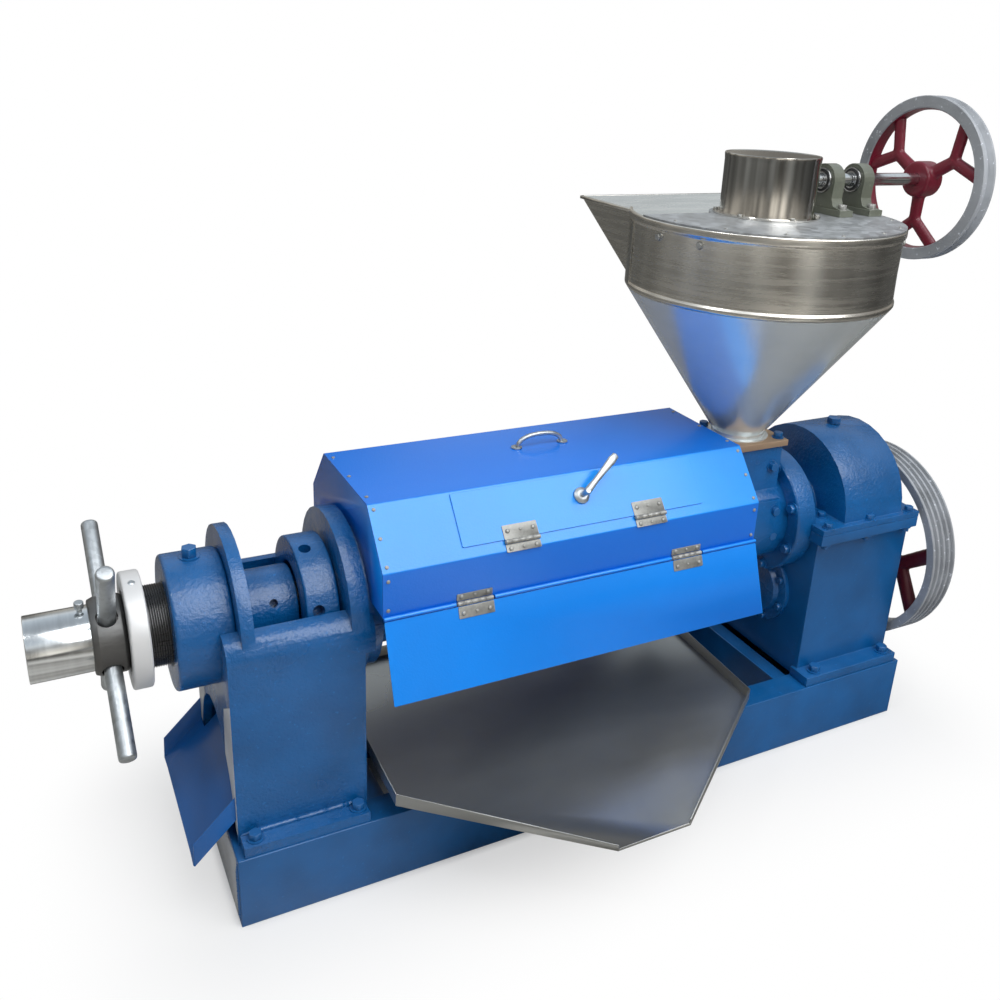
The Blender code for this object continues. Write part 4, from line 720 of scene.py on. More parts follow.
@dataclass(frozen=True)
class Finish:
    """A surface finish, built once as a material."""

    name: str
    colour: Colour
    roughness: float
    metallic: float = 0.0
    slot: str = "casting_blue"

    def material(self) -> bpy.types.Material:
        """The finish's material, built when first asked for.

        Returns:
            The material.
        """
        known = bpy.data.materials.get(self.name)
        if known:
            return known
        skin = bpy.data.materials.new(self.name)
        skin.use_nodes = True
        skin.diffuse_color = (*self.colour, 1.0)
        graph = Graph(skin.node_tree)
        shader = skin.node_tree.nodes["Principled BSDF"]
        shader.inputs["Base Color"].default_value = (*self.colour, 1.0)
        shader.inputs["Roughness"].default_value = self.roughness
        shader.inputs["Metallic"].default_value = self.metallic
        self.dress(graph, shader)
        return skin

    def dress(self, graph: Graph, shader: bpy.types.Node) -> None:
        """Wire the finish's own detail; each kind of finish has its own.

        Args:
            graph: the material's graph.
            shader: its Principled shader.
        """

    def wire(self, graph: Graph, shader: bpy.types.Node, colour: bpy.types.NodeSocket,
             rough: bpy.types.NodeSocket, height: bpy.types.NodeSocket, depth: float) -> None:
        """Wire colour, roughness and relief to the shader.

        Args:
            graph: the material's graph.
            shader: its Principled shader.
            colour: base colour.
            rough: roughness.
            height: relief, 0..1.
            depth: height of the relief in metres.
        """
        bump = graph.add("Bump", {"Height": height, "Distance": depth, "Strength": 1.0})
        graph.join(colour, shader.inputs["Base Color"])
        graph.join(rough, shader.inputs["Roughness"])
        graph.join(bump.outputs[0], shader.inputs["Normal"])

    def varnish(self, shader: bpy.types.Node, weight: float, roughness: float) -> None:
        """Lay a clear coat over the finish."""
        shader.inputs["Coat Weight"].default_value = weight
        shader.inputs["Coat Roughness"].default_value = roughness

    def scaled(self, factor: float) -> Colour:
        """The finish's colour made lighter or darker."""
        return tuple(min(1.0, part * factor) for part in self.colour)

    def cover(self, piece: bpy.types.Object) -> None:
        """Make this the only finish of a piece."""
        piece.data.materials.clear()
        piece.data.materials.append(self.material())


@dataclass(frozen=True)
class CastEnamel(Finish):
    """Enamel brushed over a sand casting."""

    grit: float = 1.0
    depth: float = 0.0012
    scale: float = 150.0
    dust: float = 0.25
    wear: float = 0.35

    def dress(self, graph: Graph, shader: bpy.types.Node) -> None:
        """Grit under the enamel, with dust, grime and specks on it.

        Args:
            graph: the material's graph.
            shader: its Principled shader.
        """
        skin = effect_node(graph, Effect.CAST_SKIN, Scale=self.scale, Grit=self.grit)
        dust = effect_node(graph, Effect.SETTLED_DUST, Amount=self.dust, Scale=22.0)
        grime = effect_node(graph, Effect.GRIME, Amount=self.wear, Scale=9.0)
        body = graph.blend(skin.outputs["Shade"], self.scaled(0.82), self.scaled(1.12))
        body = graph.blend(grime.outputs["Patch"], body, self.scaled(0.55))
        body = graph.blend(grime.outputs["Speck"], body, self.scaled(1.9))
        body = graph.blend(dust.outputs["Dust"], body, (0.30, 0.36, 0.42))
        rough = graph.lift(self.roughness, dust.outputs["Dust"], 0.5)
        rough = graph.lift(rough, grime.outputs["Patch"], 0.25)
        self.wire(graph, shader, body, rough, skin.outputs["Height"], self.depth)
        self.varnish(shader, 0.3, 0.10)


@dataclass(frozen=True)
class SheetEnamel(Finish):
    """Gloss enamel sprayed on folded sheet."""

    peel: float = 0.00022
    # Colour of the painted shade on upright and level faces
    upright_shade: Colour = (0.002, 0.126, 0.620)

    def dress(self, graph: Graph, shader: bpy.types.Node) -> None:
        """Orange peel, slow waves of the sheet, a few marks, and painted light and shade: slopes lighter,
        upright and level faces darker.

        Args:
            graph: the material's graph.
            shader: its Principled shader.
        """
        film = effect_node(graph, Effect.PAINT_FILM, Scale=260.0)
        dust = effect_node(graph, Effect.SETTLED_DUST, Amount=0.12, Scale=14.0)
        grime = effect_node(graph, Effect.GRIME, Amount=0.08, Scale=6.0)
        body = graph.blend(film.outputs["Shade"], self.scaled(0.90), self.scaled(1.06))
        # Painted light and shade: slopes keep the lit colour, upright and level faces turn to the painted
        # shade colour
        slope_light = effect_node(graph, Effect.PAINTED_SLOPE_LIGHT)
        body = graph.blend(slope_light.outputs["Fade"], self.upright_shade, body)
        body = graph.blend(grime.outputs["Patch"], body, self.scaled(0.72))
        body = graph.blend(dust.outputs["Dust"], body, self.scaled(0.7))
        rough = graph.lift(self.roughness, grime.outputs["Patch"], 0.2)
        self.wire(graph, shader, body, rough, film.outputs["Height"], self.peel)
        self.varnish(shader, 0.12, 0.08)


@dataclass(frozen=True)
class BrushedMetal(Finish):
    """Bare metal with marks drawn along one direction."""

    stretch: tuple[float, float, float] = (1.0, 1.0, 14.0)
    marks: float = 22.0
    depth: float = 0.00004
    stain: float = 0.3
    stain_colour: Colour = (0.10, 0.09, 0.08)

    def dress(self, graph: Graph, shader: bpy.types.Node) -> None:
        """Streaks in shade and gloss, with rubbed-in stains.

        Args:
            graph: the material's graph.
            shader: its Principled shader.
        """
        brush = effect_node(graph, Effect.BRUSH_MARKS, Scale=self.marks, Stretch=self.stretch)
        grime = effect_node(graph, Effect.GRIME, Amount=self.stain, Scale=8.0)
        body = graph.blend(brush.outputs["Streak"], self.scaled(0.92), self.scaled(1.05))
        body = graph.blend(grime.outputs["Patch"], body, self.stain_colour)
        rough = graph.lift(self.roughness * 0.8, brush.outputs["Streak"], self.roughness * 0.35)
        rough = graph.lift(rough, grime.outputs["Patch"], 0.3)
        self.wire(graph, shader, body, rough, brush.outputs["Height"], self.depth)


@dataclass(frozen=True)
class ZincCoat(Finish):
    """Galvanised or zinc-plated steel."""

    crystal: float = 110.0

    def dress(self, graph: Graph, shader: bpy.types.Node) -> None:
        """Crystal patches that change shade and gloss.

        Args:
            graph: the material's graph.
            shader: its Principled shader.
        """
        flake = effect_node(graph, Effect.SPANGLE, Scale=self.crystal)
        grime = effect_node(graph, Effect.GRIME, Amount=0.4, Scale=16.0)
        body = graph.blend(flake.outputs["Cell"], self.scaled(0.80), self.scaled(1.12))
        body = graph.blend(grime.outputs["Patch"], body, self.scaled(0.45))
        rough = graph.lift(self.roughness, flake.outputs["Cell"], 0.16)
        self.wire(graph, shader, body, rough, flake.outputs["Height"], 0.00008)


@dataclass(frozen=True)
class RawPlate(Finish):
    """Flame-cut plate with scale and rust."""

    def dress(self, graph: Graph, shader: bpy.types.Node) -> None:
        """Rust blooms over brown mill scale.

        Args:
            graph: the material's graph.
            shader: its Principled shader.
        """
        skin = effect_node(graph, Effect.CAST_SKIN, Scale=240.0, Grit=1.2)
        grime = effect_node(graph, Effect.GRIME, Amount=1.0, Scale=26.0)
        body = graph.blend(skin.outputs["Shade"], self.scaled(0.65), self.scaled(1.25))
        body = graph.blend(grime.outputs["Patch"], body, (0.30, 0.105, 0.035))
        body = graph.blend(grime.outputs["Speck"], body, (0.035, 0.028, 0.025))
        rough = graph.lift(self.roughness, grime.outputs["Patch"], 0.15)
        self.wire(graph, shader, body, rough, skin.outputs["Height"], 0.0008)


CASTING = CastEnamel("casting_enamel", (0.003, 0.100, 0.310), 0.22, depth=0.0020, dust=0.04)
PLATE = CastEnamel("plate_enamel", (0.003, 0.100, 0.305), 0.30, grit=0.35, depth=0.0005,
                   scale=120.0, dust=0.04)
# The sheet enamels carry a painted shade colour for upright and level faces; the guard uses the default one
GUARD = SheetEnamel("guard_enamel", (0.005, 0.300, 0.950), 0.24, slot="guard_blue")
CHUTE = SheetEnamel("chute_enamel", (0.004, 0.124, 0.440), 0.28, upright_shade=(0.003, 0.100, 0.350))
CHROME = BrushedMetal("polished_chrome", (0.74, 0.76, 0.77), 0.15, 1.0, "chrome",
                      stretch=(14.0, 1.0, 1.0), marks=9.0, stain=0.10)
OILED = BrushedMetal("oiled_steel", (0.150, 0.150, 0.148), 0.42, 0.8, "dark_steel",
                     stretch=(1.0, 3.0, 3.0), marks=60.0, depth=0.0004, stain=0.5)
THREAD = BrushedMetal("thread_steel", (0.150, 0.150, 0.155), 0.28, 0.9, "dark_steel", stain=0.4)
ZINC = ZincCoat("zinc_rod", (0.50, 0.53, 0.55), 0.32, 0.9, "zinc")
HINGE = ZincCoat("hinge_zinc", (0.40, 0.40, 0.38), 0.50, 0.7, "galvanised", crystal=260.0)
LID = ZincCoat("lid_zinc", (0.52, 0.54, 0.56), 0.36, 0.8, "galvanised", crystal=60.0)
SILVER = CastEnamel("silver_paint", (0.165, 0.165, 0.160), 0.44, 0.3, "silver_paint",
                    grit=1.6, depth=0.0012, dust=0.1, wear=0.9)
RIM_SILVER = CastEnamel("rim_silver", (0.39, 0.41, 0.44), 0.44, 0.15, "silver_paint",
                        grit=1.0, depth=0.0008, dust=0.1, wear=1.0)
CRIMSON = CastEnamel("arm_crimson", (0.190, 0.008, 0.026), 0.34, 0.0, "crimson",
                     grit=0.8, depth=0.0010, dust=0.05)
# Darker copy of the arm crimson: painted shade for the main pulley's arms, which sit in shade
CRIMSON_IN_SHADE = CastEnamel("arm_crimson_painted_shade", (0.100, 0.006, 0.014), 0.34, 0.0, "crimson",
                    grit=0.8, depth=0.0010, dust=0.05)
WORM = BrushedMetal("worm_steel", (0.24, 0.235, 0.23), 0.34, 0.9, "worm_steel", stain=0.5)
STAINLESS = BrushedMetal("rolled_stainless", (0.80, 0.77, 0.71), 0.27, 1.0, "stainless", depth=0.000003,
                         stretch=(0.3, 0.3, 8.0), marks=18.0, stain=0.06, stain_colour=(0.26, 0.235, 0.20))
CONE_SHEET = BrushedMetal("cone_stainless", (0.78, 0.82, 0.82), 0.25, 0.65, "stainless", depth=0.0,
                          stretch=(1.0, 1.0, 2.0), marks=3.0, stain=0.0, stain_colour=(0.36, 0.36, 0.33))
CAN_SHEET = BrushedMetal("can_stainless", (0.64, 0.62, 0.58), 0.15, 1.0, "stainless", depth=0.0000004,
                         stretch=(1.0, 1.0, 0.3), marks=5.0, stain=0.05, stain_colour=(0.25, 0.22, 0.19))
PAN_SHEET = BrushedMetal("pan_sheet", (0.360, 0.365, 0.355), 0.30, 0.85, "pan_steel",
                         stretch=(1.0, 2.0, 1.0), marks=2.0, depth=0.00001, stain=0.06,
                         stain_colour=(0.100, 0.095, 0.085))
RAW = RawPlate("raw_plate", (0.200, 0.145, 0.105), 0.72, 0.0, "raw_plate")
OLIVE = CastEnamel("olive_casting", (0.120, 0.130, 0.100), 0.45, 0.0, "olive",
                   grit=0.8, depth=0.0008, dust=0.1)
LINER = CastEnamel("bare_casting_edge", (0.60, 0.61, 0.62), 0.55, 0.2, "silver_paint",
                   grit=1.0, depth=0.0008, dust=0.1)
RACE = BrushedMetal("bearing_race", (0.42, 0.42, 0.42), 0.20, 1.0, "chrome", marks=30.0, stain=0.2)
SEAL = BrushedMetal("bearing_seal", (0.030, 0.030, 0.032), 0.55, 0.1, "dark_steel", marks=12.0, stain=0.2)


def put(piece: bpy.types.Object, body: str, finish: Finish, *nodes: str) -> None:
    """Dress a new piece, set it on its body and let it stand for CAD nodes.

    Args:
        piece: the piece, in place.
        body: the body it moves with.
        finish: its finish.
        *nodes: the CAD nodes that it replaces.
    """
    finish.cover(piece)
    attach(piece, body)
    if nodes:
        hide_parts(*nodes)
    LOG.info("piece %s on %s", piece.name, body)


def keep(node: str, finish: Finish, edge: float = 0.0, segments: int = 2) -> None:
    """Show a CAD node with its own shape and a finish, with softened edges where a width is given.

    Args:
        node: the node's name.
        finish: its finish.
        edge: width of its softened edges.
        segments: facets across a softened edge.
    """
    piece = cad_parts[node]
    finish.cover(piece)
    shade(piece.data, KEPT_EDGE)
    if edge:
        weld = piece.modifiers.new("closed_seams", "WELD")
        weld.merge_threshold = 0.00002
        flat = piece.modifiers.new("flat_faces", "DECIMATE")
        flat.decimate_type = "DISSOLVE"
        flat.angle_limit = math.radians(0.6)
        soften(piece, edge, segments)
    LOG.info("node %s kept", node)


# Sub-assemblies


@dataclass
class AdjustingGear:
    """Cake-end screw with its hub, bars, lock ring, nut collar and outer tube."""

    axis: float = 0.547
    collar: Pair = (-0.061, 0.0397)
    collar_radius: float = 0.125
    set_bolt_x: float = -0.012
    lock: Pair = (-0.1307, -0.097)
    lock_radius: float = 0.106
    hub: Pair = (-0.187, -0.131)
    hub_radius: float = 0.070
    bore: float = 0.045
    screw_radius: float = 0.075
    screw_end: float = 0.0352
    thread_end: float = -0.030
    thread_depth: float = 0.0030
    pitch: float = 0.004
    starts: int = 2
    tube: Pair = (-0.290, -0.1773)
    tube_radius: float = 0.059
    tube_wall: float = 0.004
    knob_x: float = -0.200
    knob_angle: float = 84.0
    bar_x: float = -0.160
    bar_radius: float = 0.015
    bar_reach: Pair = (0.050, 0.232)
    bar_angle: float = 55.0

    def ring_profile(self, length: float, radius: float, bore: float, edge: float) -> list[Pair]:
        """Profile of a ring with rounded outer edges."""
        corners = [(bore, 0.0), (radius, 0.0), (radius, length), (bore, length)]
        return round_corners(corners, edge, True, 4)

    def build_collar(self) -> None:
        """Nut collar with its set bolt."""
        x = self.collar
        profile = self.ring_profile(x[1] - x[0], self.collar_radius, self.screw_radius + 0.001, 0.007)
        body = lathe("nut_collar_turned", profile, (x[0], 0, self.axis), segments=ROUND)
        put(body, "frame", CASTING, "nut_collar")
        top = self.axis + self.collar_radius
        bolt = self.set_bolt_x
        parts = [fastener("set_bolt_part", (bolt, 0, top - 0.001), (0, 0, 1), 0.0125, height=0.019),
                 bar("set_bolt_neck", (bolt, 0, top - 0.02), (bolt, 0, top + 0.004), 0.008)]
        put(merge("set_bolt", parts), "frame", PLATE, "collar_set_bolt")

    def build_screw(self) -> None:
        """Threaded adjusting screw, its ribs wound on a plain core."""
        start, end = self.hub[1] + GAP, self.thread_end
        crest, root = self.screw_radius - 0.0002, self.screw_radius - self.thread_depth
        lead = self.pitch * self.starts
        turns = int((end - start) / lead)
        segments = 72
        bm = bmesh.new()
        for first in range(self.starts):
            line = []
            for index in range(turns * segments + 1):
                turn = math.tau * (index / segments + first / self.starts)
                x = start + lead * index / segments
                row = []
                for share, radius in ((0.0, root), (0.40, crest), (0.58, crest), (0.98, root)):
                    across, up = radius * math.cos(turn), self.axis + radius * math.sin(turn)
                    row.append(bm.verts.new((x + share * self.pitch, across, up)))
                line.append(row)
            skin_rows(bm, line, closed=False)
        ribs = add_piece("thread_ribs", bm, 50)
        length = self.screw_end - start
        profile = [(self.bore, 0.0), (root + 0.0001, 0.0), (root + 0.0001, end - start - 0.004),
                   (crest, end - start), (crest, length), (self.bore, length)]
        core = lathe("thread_core", profile, (start, 0, self.axis))
        put(merge("adjusting_thread", [ribs, core]), "adjuster", THREAD, "adjusting_screw")

    def build_hub(self) -> None:
        """Dark hub with holes where the bars enter."""
        length = self.hub[1] - self.hub[0]
        radius = self.hub_radius
        corners = [(self.bore, 0.0), (radius - 0.004, 0.0), (radius, 0.010),
                   (radius, length - 0.006), (radius - 0.003, length), (self.bore, length)]
        profile = round_corners(corners, 0.004, True, 3)
        body = lathe("hub_turned", profile, (self.hub[0], 0, self.axis), segments=ROUND)
        holes = []
        for index, way in enumerate(self.bar_ways()):
            centre = Vector((self.bar_x, 0, self.axis))
            holes.append(bar(f"hub_hole_{index}", centre + way * 0.055, centre + way * 0.1, 0.0185))
        carve(body, "DIFFERENCE", holes)
        put(body, "adjuster", OILED, "adjusting_hub")

    def bar_ways(self) -> list[Vector]:
        """Directions of the four bars."""
        return [spoke(self.bar_angle + 90 * index) for index in range(4)]

    def build_bars(self) -> None:
        """Four tommy bars with worn round ends."""
        for index, way in enumerate(self.bar_ways()):
            centre = Vector((self.bar_x, 0, self.axis))
            rod = bar(f"tommy_rod_{index + 1}", centre + way * self.bar_reach[0],
                      centre + way * self.bar_reach[1], self.bar_radius, 0.007, 40)
            put(rod, "adjuster", ZINC, f"tommy_bar_{index + 1}")

    def build_tube(self) -> None:
        """Chromed outer tube with rounded ends, and its screw."""
        length = self.tube[1] - self.tube[0]
        radius = self.tube_radius
        inner = radius - self.tube_wall
        corners = [(inner, 0.0), (radius, 0.0), (radius, length), (inner, length)]
        profile = round_corners(corners, 0.0018, True, 3)
        tube = lathe("chromed_tube", profile, (self.tube[0], 0, self.axis), segments=ROUND)
        put(tube, "adjuster", CHROME, "outer_tube")
        way = spoke(self.knob_angle)
        seat = Vector((self.knob_x, 0, self.axis)) + way * (radius - 0.001)
        parts = [bar("screw_neck", seat, seat + way * 0.012, 0.0045),
                 bar("screw_knob", seat + way * 0.009, seat + way * 0.021, 0.008, 0.002)]
        put(merge("thumb_screw", parts), "adjuster", ZINC)

    def build_lock_ring(self) -> None:
        """Lock ring with its grub screw."""
        length = self.lock[1] - self.lock[0]
        profile = self.ring_profile(length, self.lock_radius, self.screw_radius + 0.0008, 0.005)
        ring = lathe("lock_ring_turned", profile, (self.lock[0], 0, self.axis), segments=ROUND)
        put(ring, "lock_ring", SILVER, "lock_ring")
        top = Vector((self.lock[0] + length / 2, -0.020, self.axis + self.lock_radius - 0.003))
        put(fastener("lock_grub", top, (0, -0.2, 1), 0.007, Head.PAN), "lock_ring", ZINC)

    def build(self) -> None:
        """Build the whole cake-end gear."""
        self.build_collar()
        self.build_screw()
        self.build_hub()
        self.build_bars()
        self.build_tube()
        self.build_lock_ring()


@dataclass
class CakeCage:
    """Cast stand with its rings, the sleeve and the drilled ring in its window."""

    axis: float = 0.547
    sleeve: Pair = (0.0355, 0.165)
    sleeve_radius: float = 0.070
    sleeve_bore: float = 0.033
    hole_x: float = 0.120
    hole_angle: float = 28.0
    ring: tuple[float, float, float] = (0.166, 0.228, 0.2337)
    ring_radius: float = 0.122
    spigot_radius: float = 0.098
    ring_bore: float = 0.0738
    ring_hole_x: float = 0.188
    ring_angle: float = 15.0
    foot_bolts: Pair = (0.038, 0.233)
    foot: float = 0.154
    arch_half: float = 0.1588
    arch_rise: float = 0.1983
    face_side: float = 0.1706

    def build_sleeve(self) -> None:
        """Thrust sleeve with its hole."""
        length = self.sleeve[1] - self.sleeve[0]
        corners = [(self.sleeve_bore, 0.0), (self.sleeve_radius, 0.0), (self.sleeve_radius, length),
                   (self.sleeve_bore, length)]
        profile = round_corners(corners, 0.003, True, 3)
        body = lathe("sleeve_turned", profile, (self.sleeve[0], 0, self.axis))
        way = spoke(self.hole_angle)
        centre = Vector((self.hole_x, 0, self.axis))
        carve(body, "DIFFERENCE", [bar("sleeve_cut", centre + way * 0.045, centre + way * 0.09, 0.008)])
        put(body, "carriage", CASTING, "thrust_sleeve")

    def build_ring(self) -> None:
        """Spanner ring with six holes."""
        start, shoulder, end = self.ring
        length = end - start
        step = shoulder - start
        corners = [(self.ring_bore, 0.0), (self.ring_radius, 0.0), (self.ring_radius, step),
                   (self.spigot_radius, step), (self.spigot_radius, length), (self.ring_bore, length)]
        profile = round_corners(corners, 0.005, True, 4)
        body = lathe("spanner_ring_turned", profile, (start, 0, self.axis), segments=ROUND)
        centre = Vector((self.ring_hole_x, 0, self.axis))
        cuts = []
        for index in range(6):
            way = spoke(self.ring_angle + 60 * index)
            cuts.append(bar(f"ring_cut_{index}", centre + way * 0.094, centre + way * 0.13, 0.0115))
        carve(body, "DIFFERENCE", cuts)
        put(body, "frame", CASTING, "spanner_ring")

    def build_fasteners(self) -> None:
        """Foot bolts and weld beads of the stand."""
        heads = []
        for side in (-1, 1):
            for x in self.foot_bolts:
                heads.append(fastener("foot_bolt", (x, side * 0.190, 0.176), (0, 0, 1), 0.011))
        put(merge("stand_foot_bolts", heads), "frame", PLATE)
        beads = []
        for side in (-1, 1):
            start, end = (0.016, side * 0.1735, 0.1775), (0.249, side * 0.1735, 0.1775)
            beads.append(weld_bead("bead", start, end, 0.006, side))
        put(merge("stand_weld", beads), "frame", CASTING)

    def build_arch_edge(self) -> None:
        """Bare casting face that the paint leaves free beside the stand's arch."""
        curve = []
        for step in range(13):
            y = 0.098 + (0.1577 - 0.098) * step / 12
            curve.append((y, self.foot + self.arch_rise * math.sqrt(1.0 - (y / self.arch_half) ** 2)))
        corners = [(self.face_side, 0.1790), (self.face_side, 0.4550), (0.112, 0.4150), *curve]
        parts = []
        for way in (-1, 1):
            outline = [(way * y, z) for y, z in corners]
            parts.append(slab("bare_face", outline, 0.0014, cross_plane(0.0102)))
        put(merge("arch_faces", parts), "frame", LINER)

    def build(self) -> None:
        """Dress the stand and its turned pieces."""
        keep("cage_stand", CASTING, 0.003, 3)
        keep("cake_chute", CHUTE, 0.0008, 2)
        self.build_sleeve()
        self.build_ring()
        self.build_arch_edge()
        self.build_fasteners()


@dataclass
class GuardCover:
    """Folded sheet guard with its door, flap, hinges, latch and handle."""

    x: Pair = (0.2755, 1.1090)
    top: Pair = (0.131, 0.782)
    fold: Pair = (0.2138, 0.683)
    side_foot: float = 0.596
    flap: Pair = (0.273, 0.449)
    sheet: float = 0.0025
    door_x: Pair = (0.432, 0.969)
    door_up: Pair = (0.021, 0.124)
    lap: float = 0.012
    pin: float = 0.0045
    door_hinges: tuple[float, float] = (0.552, 0.838)
    flap_hinges: tuple[float, float] = (0.453, 0.930)
    hinge_length: float = 0.072
    latch_x: float = 0.698
    latch_up: float = 0.079
    cam_depth: float = -0.0125
    handle_x: float = 0.704
    handle_half: float = 0.050

    def rise(self) -> Vector:
        """Unit direction up the front slope, as (y, z)."""
        return Vector((self.fold[0] - self.top[0], self.top[1] - self.fold[1])).normalized()

    def slope(self, up: float, out: float = 0.0) -> Vector:
        """(y, z) on the front slope, measured up from its lower fold."""
        rise = self.rise()
        return Vector((-self.fold[0], self.fold[1])) + up * rise + out * Vector((-rise.y, rise.x))

    def flap_axis(self) -> Vector:
        """(y, z) of the flap's pins."""
        return Vector((-self.fold[0] - self.pin - GAP, self.side_foot))

    def fall(self) -> Vector:
        """Unit direction down the hanging flap, as (y, z)."""
        return (Vector((-self.flap[0], self.flap[1])) - self.flap_axis()).normalized()

    def slope_plane(self, x: float, up: float, out: float) -> Matrix:
        """Plane that lies on the front slope.

        Args:
            x: its origin along the press.
            up: its origin's distance up the slope.
            out: its distance from the sheet's outer face.

        Returns:
            The plane's matrix, its second direction up the slope.
        """
        rise = self.rise()
        point = self.slope(up, out)
        return plane_at((x, point.x, point.y), (1, 0, 0), (0, rise.x, rise.y))

    def flap_plane(self, x: float, down: float, out: float) -> Matrix:
        """Plane that lies on the hanging flap.

        Args:
            x: its origin along the press.
            down: its origin's distance below the flap's pins.
            out: its distance from the flap's middle.

        Returns:
            The plane's matrix, its second direction upwards.
        """
        fall = self.fall()
        normal = Vector((fall.y, -fall.x))
        point = self.flap_axis() + down * fall + out * normal
        return plane_at((x, point.x, point.y), (1, 0, 0), (0, -fall.x, -fall.y))

    def build_shell(self) -> None:
        """Folded guard with rounded folds and the door's opening."""
        fold_y, fold_z = self.fold
        top_y, top_z = self.top
        low = self.slope(self.door_up[0] + self.lap)
        high = self.slope(self.door_up[1] - self.lap)
        corners = [(-fold_y, self.side_foot), (-fold_y, fold_z), (-top_y, top_z), (top_y, top_z),
                   (fold_y, fold_z), (fold_y, self.side_foot), (self.flap[0], self.flap[1])]
        line = round_corners(corners, 0.006, False, 4)
        cut = next(index for index, point in enumerate(line) if point[1] > high.y - NO_LENGTH)
        line = line[:cut] + [tuple(low), tuple(high)] + line[cut:]
        columns = [self.x[0], self.door_x[0] + self.lap, self.door_x[1] - self.lap, self.x[1]]
        bm = bmesh.new()
        rows = [[bm.verts.new((x, y, z)) for y, z in line] for x in columns]
        for column in range(3):
            for index in range(len(line) - 1):
                if column == 1 and index == cut:
                    continue
                bm.faces.new((rows[column][index + 1], rows[column][index],
                              rows[column + 1][index], rows[column + 1][index + 1]))
        data = bpy.data.meshes.new("guard_folded")
        bm.to_mesh(data)
        bm.free()
        shell = place_object("guard_folded", data)
        skin = shell.modifiers.new("sheet", "SOLIDIFY")
        skin.thickness = self.sheet
        skin.offset = -1.0
        settle(shell, 30)
        put(shell, "frame", GUARD, "guard_shell")

    def build_door(self) -> None:
        """Door sheet with its hinge leaves and screws."""
        width = self.door_x[1] - self.door_x[0]
        height = self.door_up[1] - self.door_up[0]
        outline = round_corners([(0, 0), (width, 0), (width, height), (0, height)], 0.003, True, 2)
        place = self.slope_plane(self.door_x[0], self.door_up[0], GAP)
        door = slab("door_sheet", outline, self.sheet, place, 0.0006, 1)
        hole_base = self.slope_plane(self.latch_x, self.latch_up, -0.01)
        cutter = bar("door_cut", (0, 0, 0), (0, 0, 0.02), 0.0063)
        cutter.data.transform(hole_base)
        carve(door, "DIFFERENCE", [cutter])
        put(door, "door", GUARD, "inspection_door")
        for index, x in enumerate(self.door_hinges):
            leaf = self.slope_plane(x, self.door_up[0] - 0.001, GAP + self.sheet)
            put(self.hinge_leaf(f"door_leaf_{index + 1}", leaf, 0.028), "door", HINGE)
            down = self.slope_plane(x, self.door_up[0] - 2 * self.pin - GAP, GAP)
            fixed = self.hinge_leaf(f"door_hinge_leaf_{index + 1}", down, -0.0150)
            axis = self.slope(self.door_up[0] - self.pin - GAP, self.pin + GAP)
            knuckle = self.knuckle(f"door_knuckle_{index + 1}", x, axis)
            put(merge(f"door_hinge_fixed_{index + 1}", [fixed, knuckle]), "frame", HINGE,
                f"door_hinge_{index + 1}")

    def knuckle(self, name: str, x: float, axis: Vector) -> bpy.types.Object:
        """Rolled hinge barrel with the joints between its knuckles.

        Args:
            name: the piece's name.
            x: its middle along the press.
            axis: (y, z) of its pin.

        Returns:
            The barrel.
        """
        half = self.hinge_length / 2
        profile: list[Pair] = [(0.0, -half - 0.0015), (0.0022, -half - 0.001), (0.0026, -half)]
        step = self.hinge_length / 5
        for index in range(5):
            low = -half + index * step
            profile += [(self.pin, low + 0.0004), (self.pin, low + step - 0.0004),
                        (self.pin * 0.8, low + step)]
        profile += [(0.0022, half + 0.001), (0.0, half + 0.0015)]
        return lathe(name, profile, (x, axis.x, axis.y), Axis.X, closed=False, segments=24)

    def hinge_leaf(self, name: str, place: Matrix, height: float) -> bpy.types.Object:
        """Hinge leaf with rounded corners and screw heads.

        Args:
            name: the piece's name.
            place: plane of the leaf, its origin on the hinged edge.
            height: how far it reaches up the plane, or down it if negative.

        Returns:
            The leaf.
        """
        half = self.hinge_length / 2
        outline = [(-half, 0.0), (half, 0.0), (half, height), (-half, height)]
        if height < 0:
            outline.reverse()
        parts = [slab(name, round_corners(outline, 0.002, True, 2), 0.0017, place, 0.0003, 1)]
        out = place.to_3x3() @ Vector((0, 0, 1))
        for along, size in ((-0.74, 0.0044), (0.0, 0.0030), (0.74, 0.0044)):
            seat = place @ Vector((along * half, 0.58 * height, 0.0017))
            parts.append(fastener("screw", seat, out, size, Head.DOME, washer=False, sink=0.0002))
        return merge(name, parts)

    def build_latch(self) -> None:
        """Quarter-turn latch: rose, spindle, lever and cam."""
        place = self.slope_plane(self.latch_x, self.latch_up, GAP + self.sheet + GAP)
        corners = [(0.0, 0.0), (0.017, 0.0), (0.0165, 0.004), (0.010, 0.008), (0.0, 0.0085)]
        profile = round_corners(corners, 0.002, False, 3)
        rose = lathe("rose", profile, (0, 0, 0), Axis.Z, closed=False, segments=48)
        rose.data.transform(place)
        stem = bar("stem", place @ Vector((0, 0, self.cam_depth)), place @ Vector((0, 0, 0.034)),
                   0.0055, 0.001, 24)
        corners = round_corners([(-0.009, -0.009), (0.044, -0.009), (0.044, 0.009), (-0.009, 0.009)], 0.006)
        cam = slab("cam", corners, 0.003, place @ Matrix.Translation((0, 0, self.cam_depth)), 0.0004, 1)
        parts = [rose, stem, self.latch_grip(place), cam]
        put(merge("latch_handle", parts), "latch", ZINC, "latch_lever")

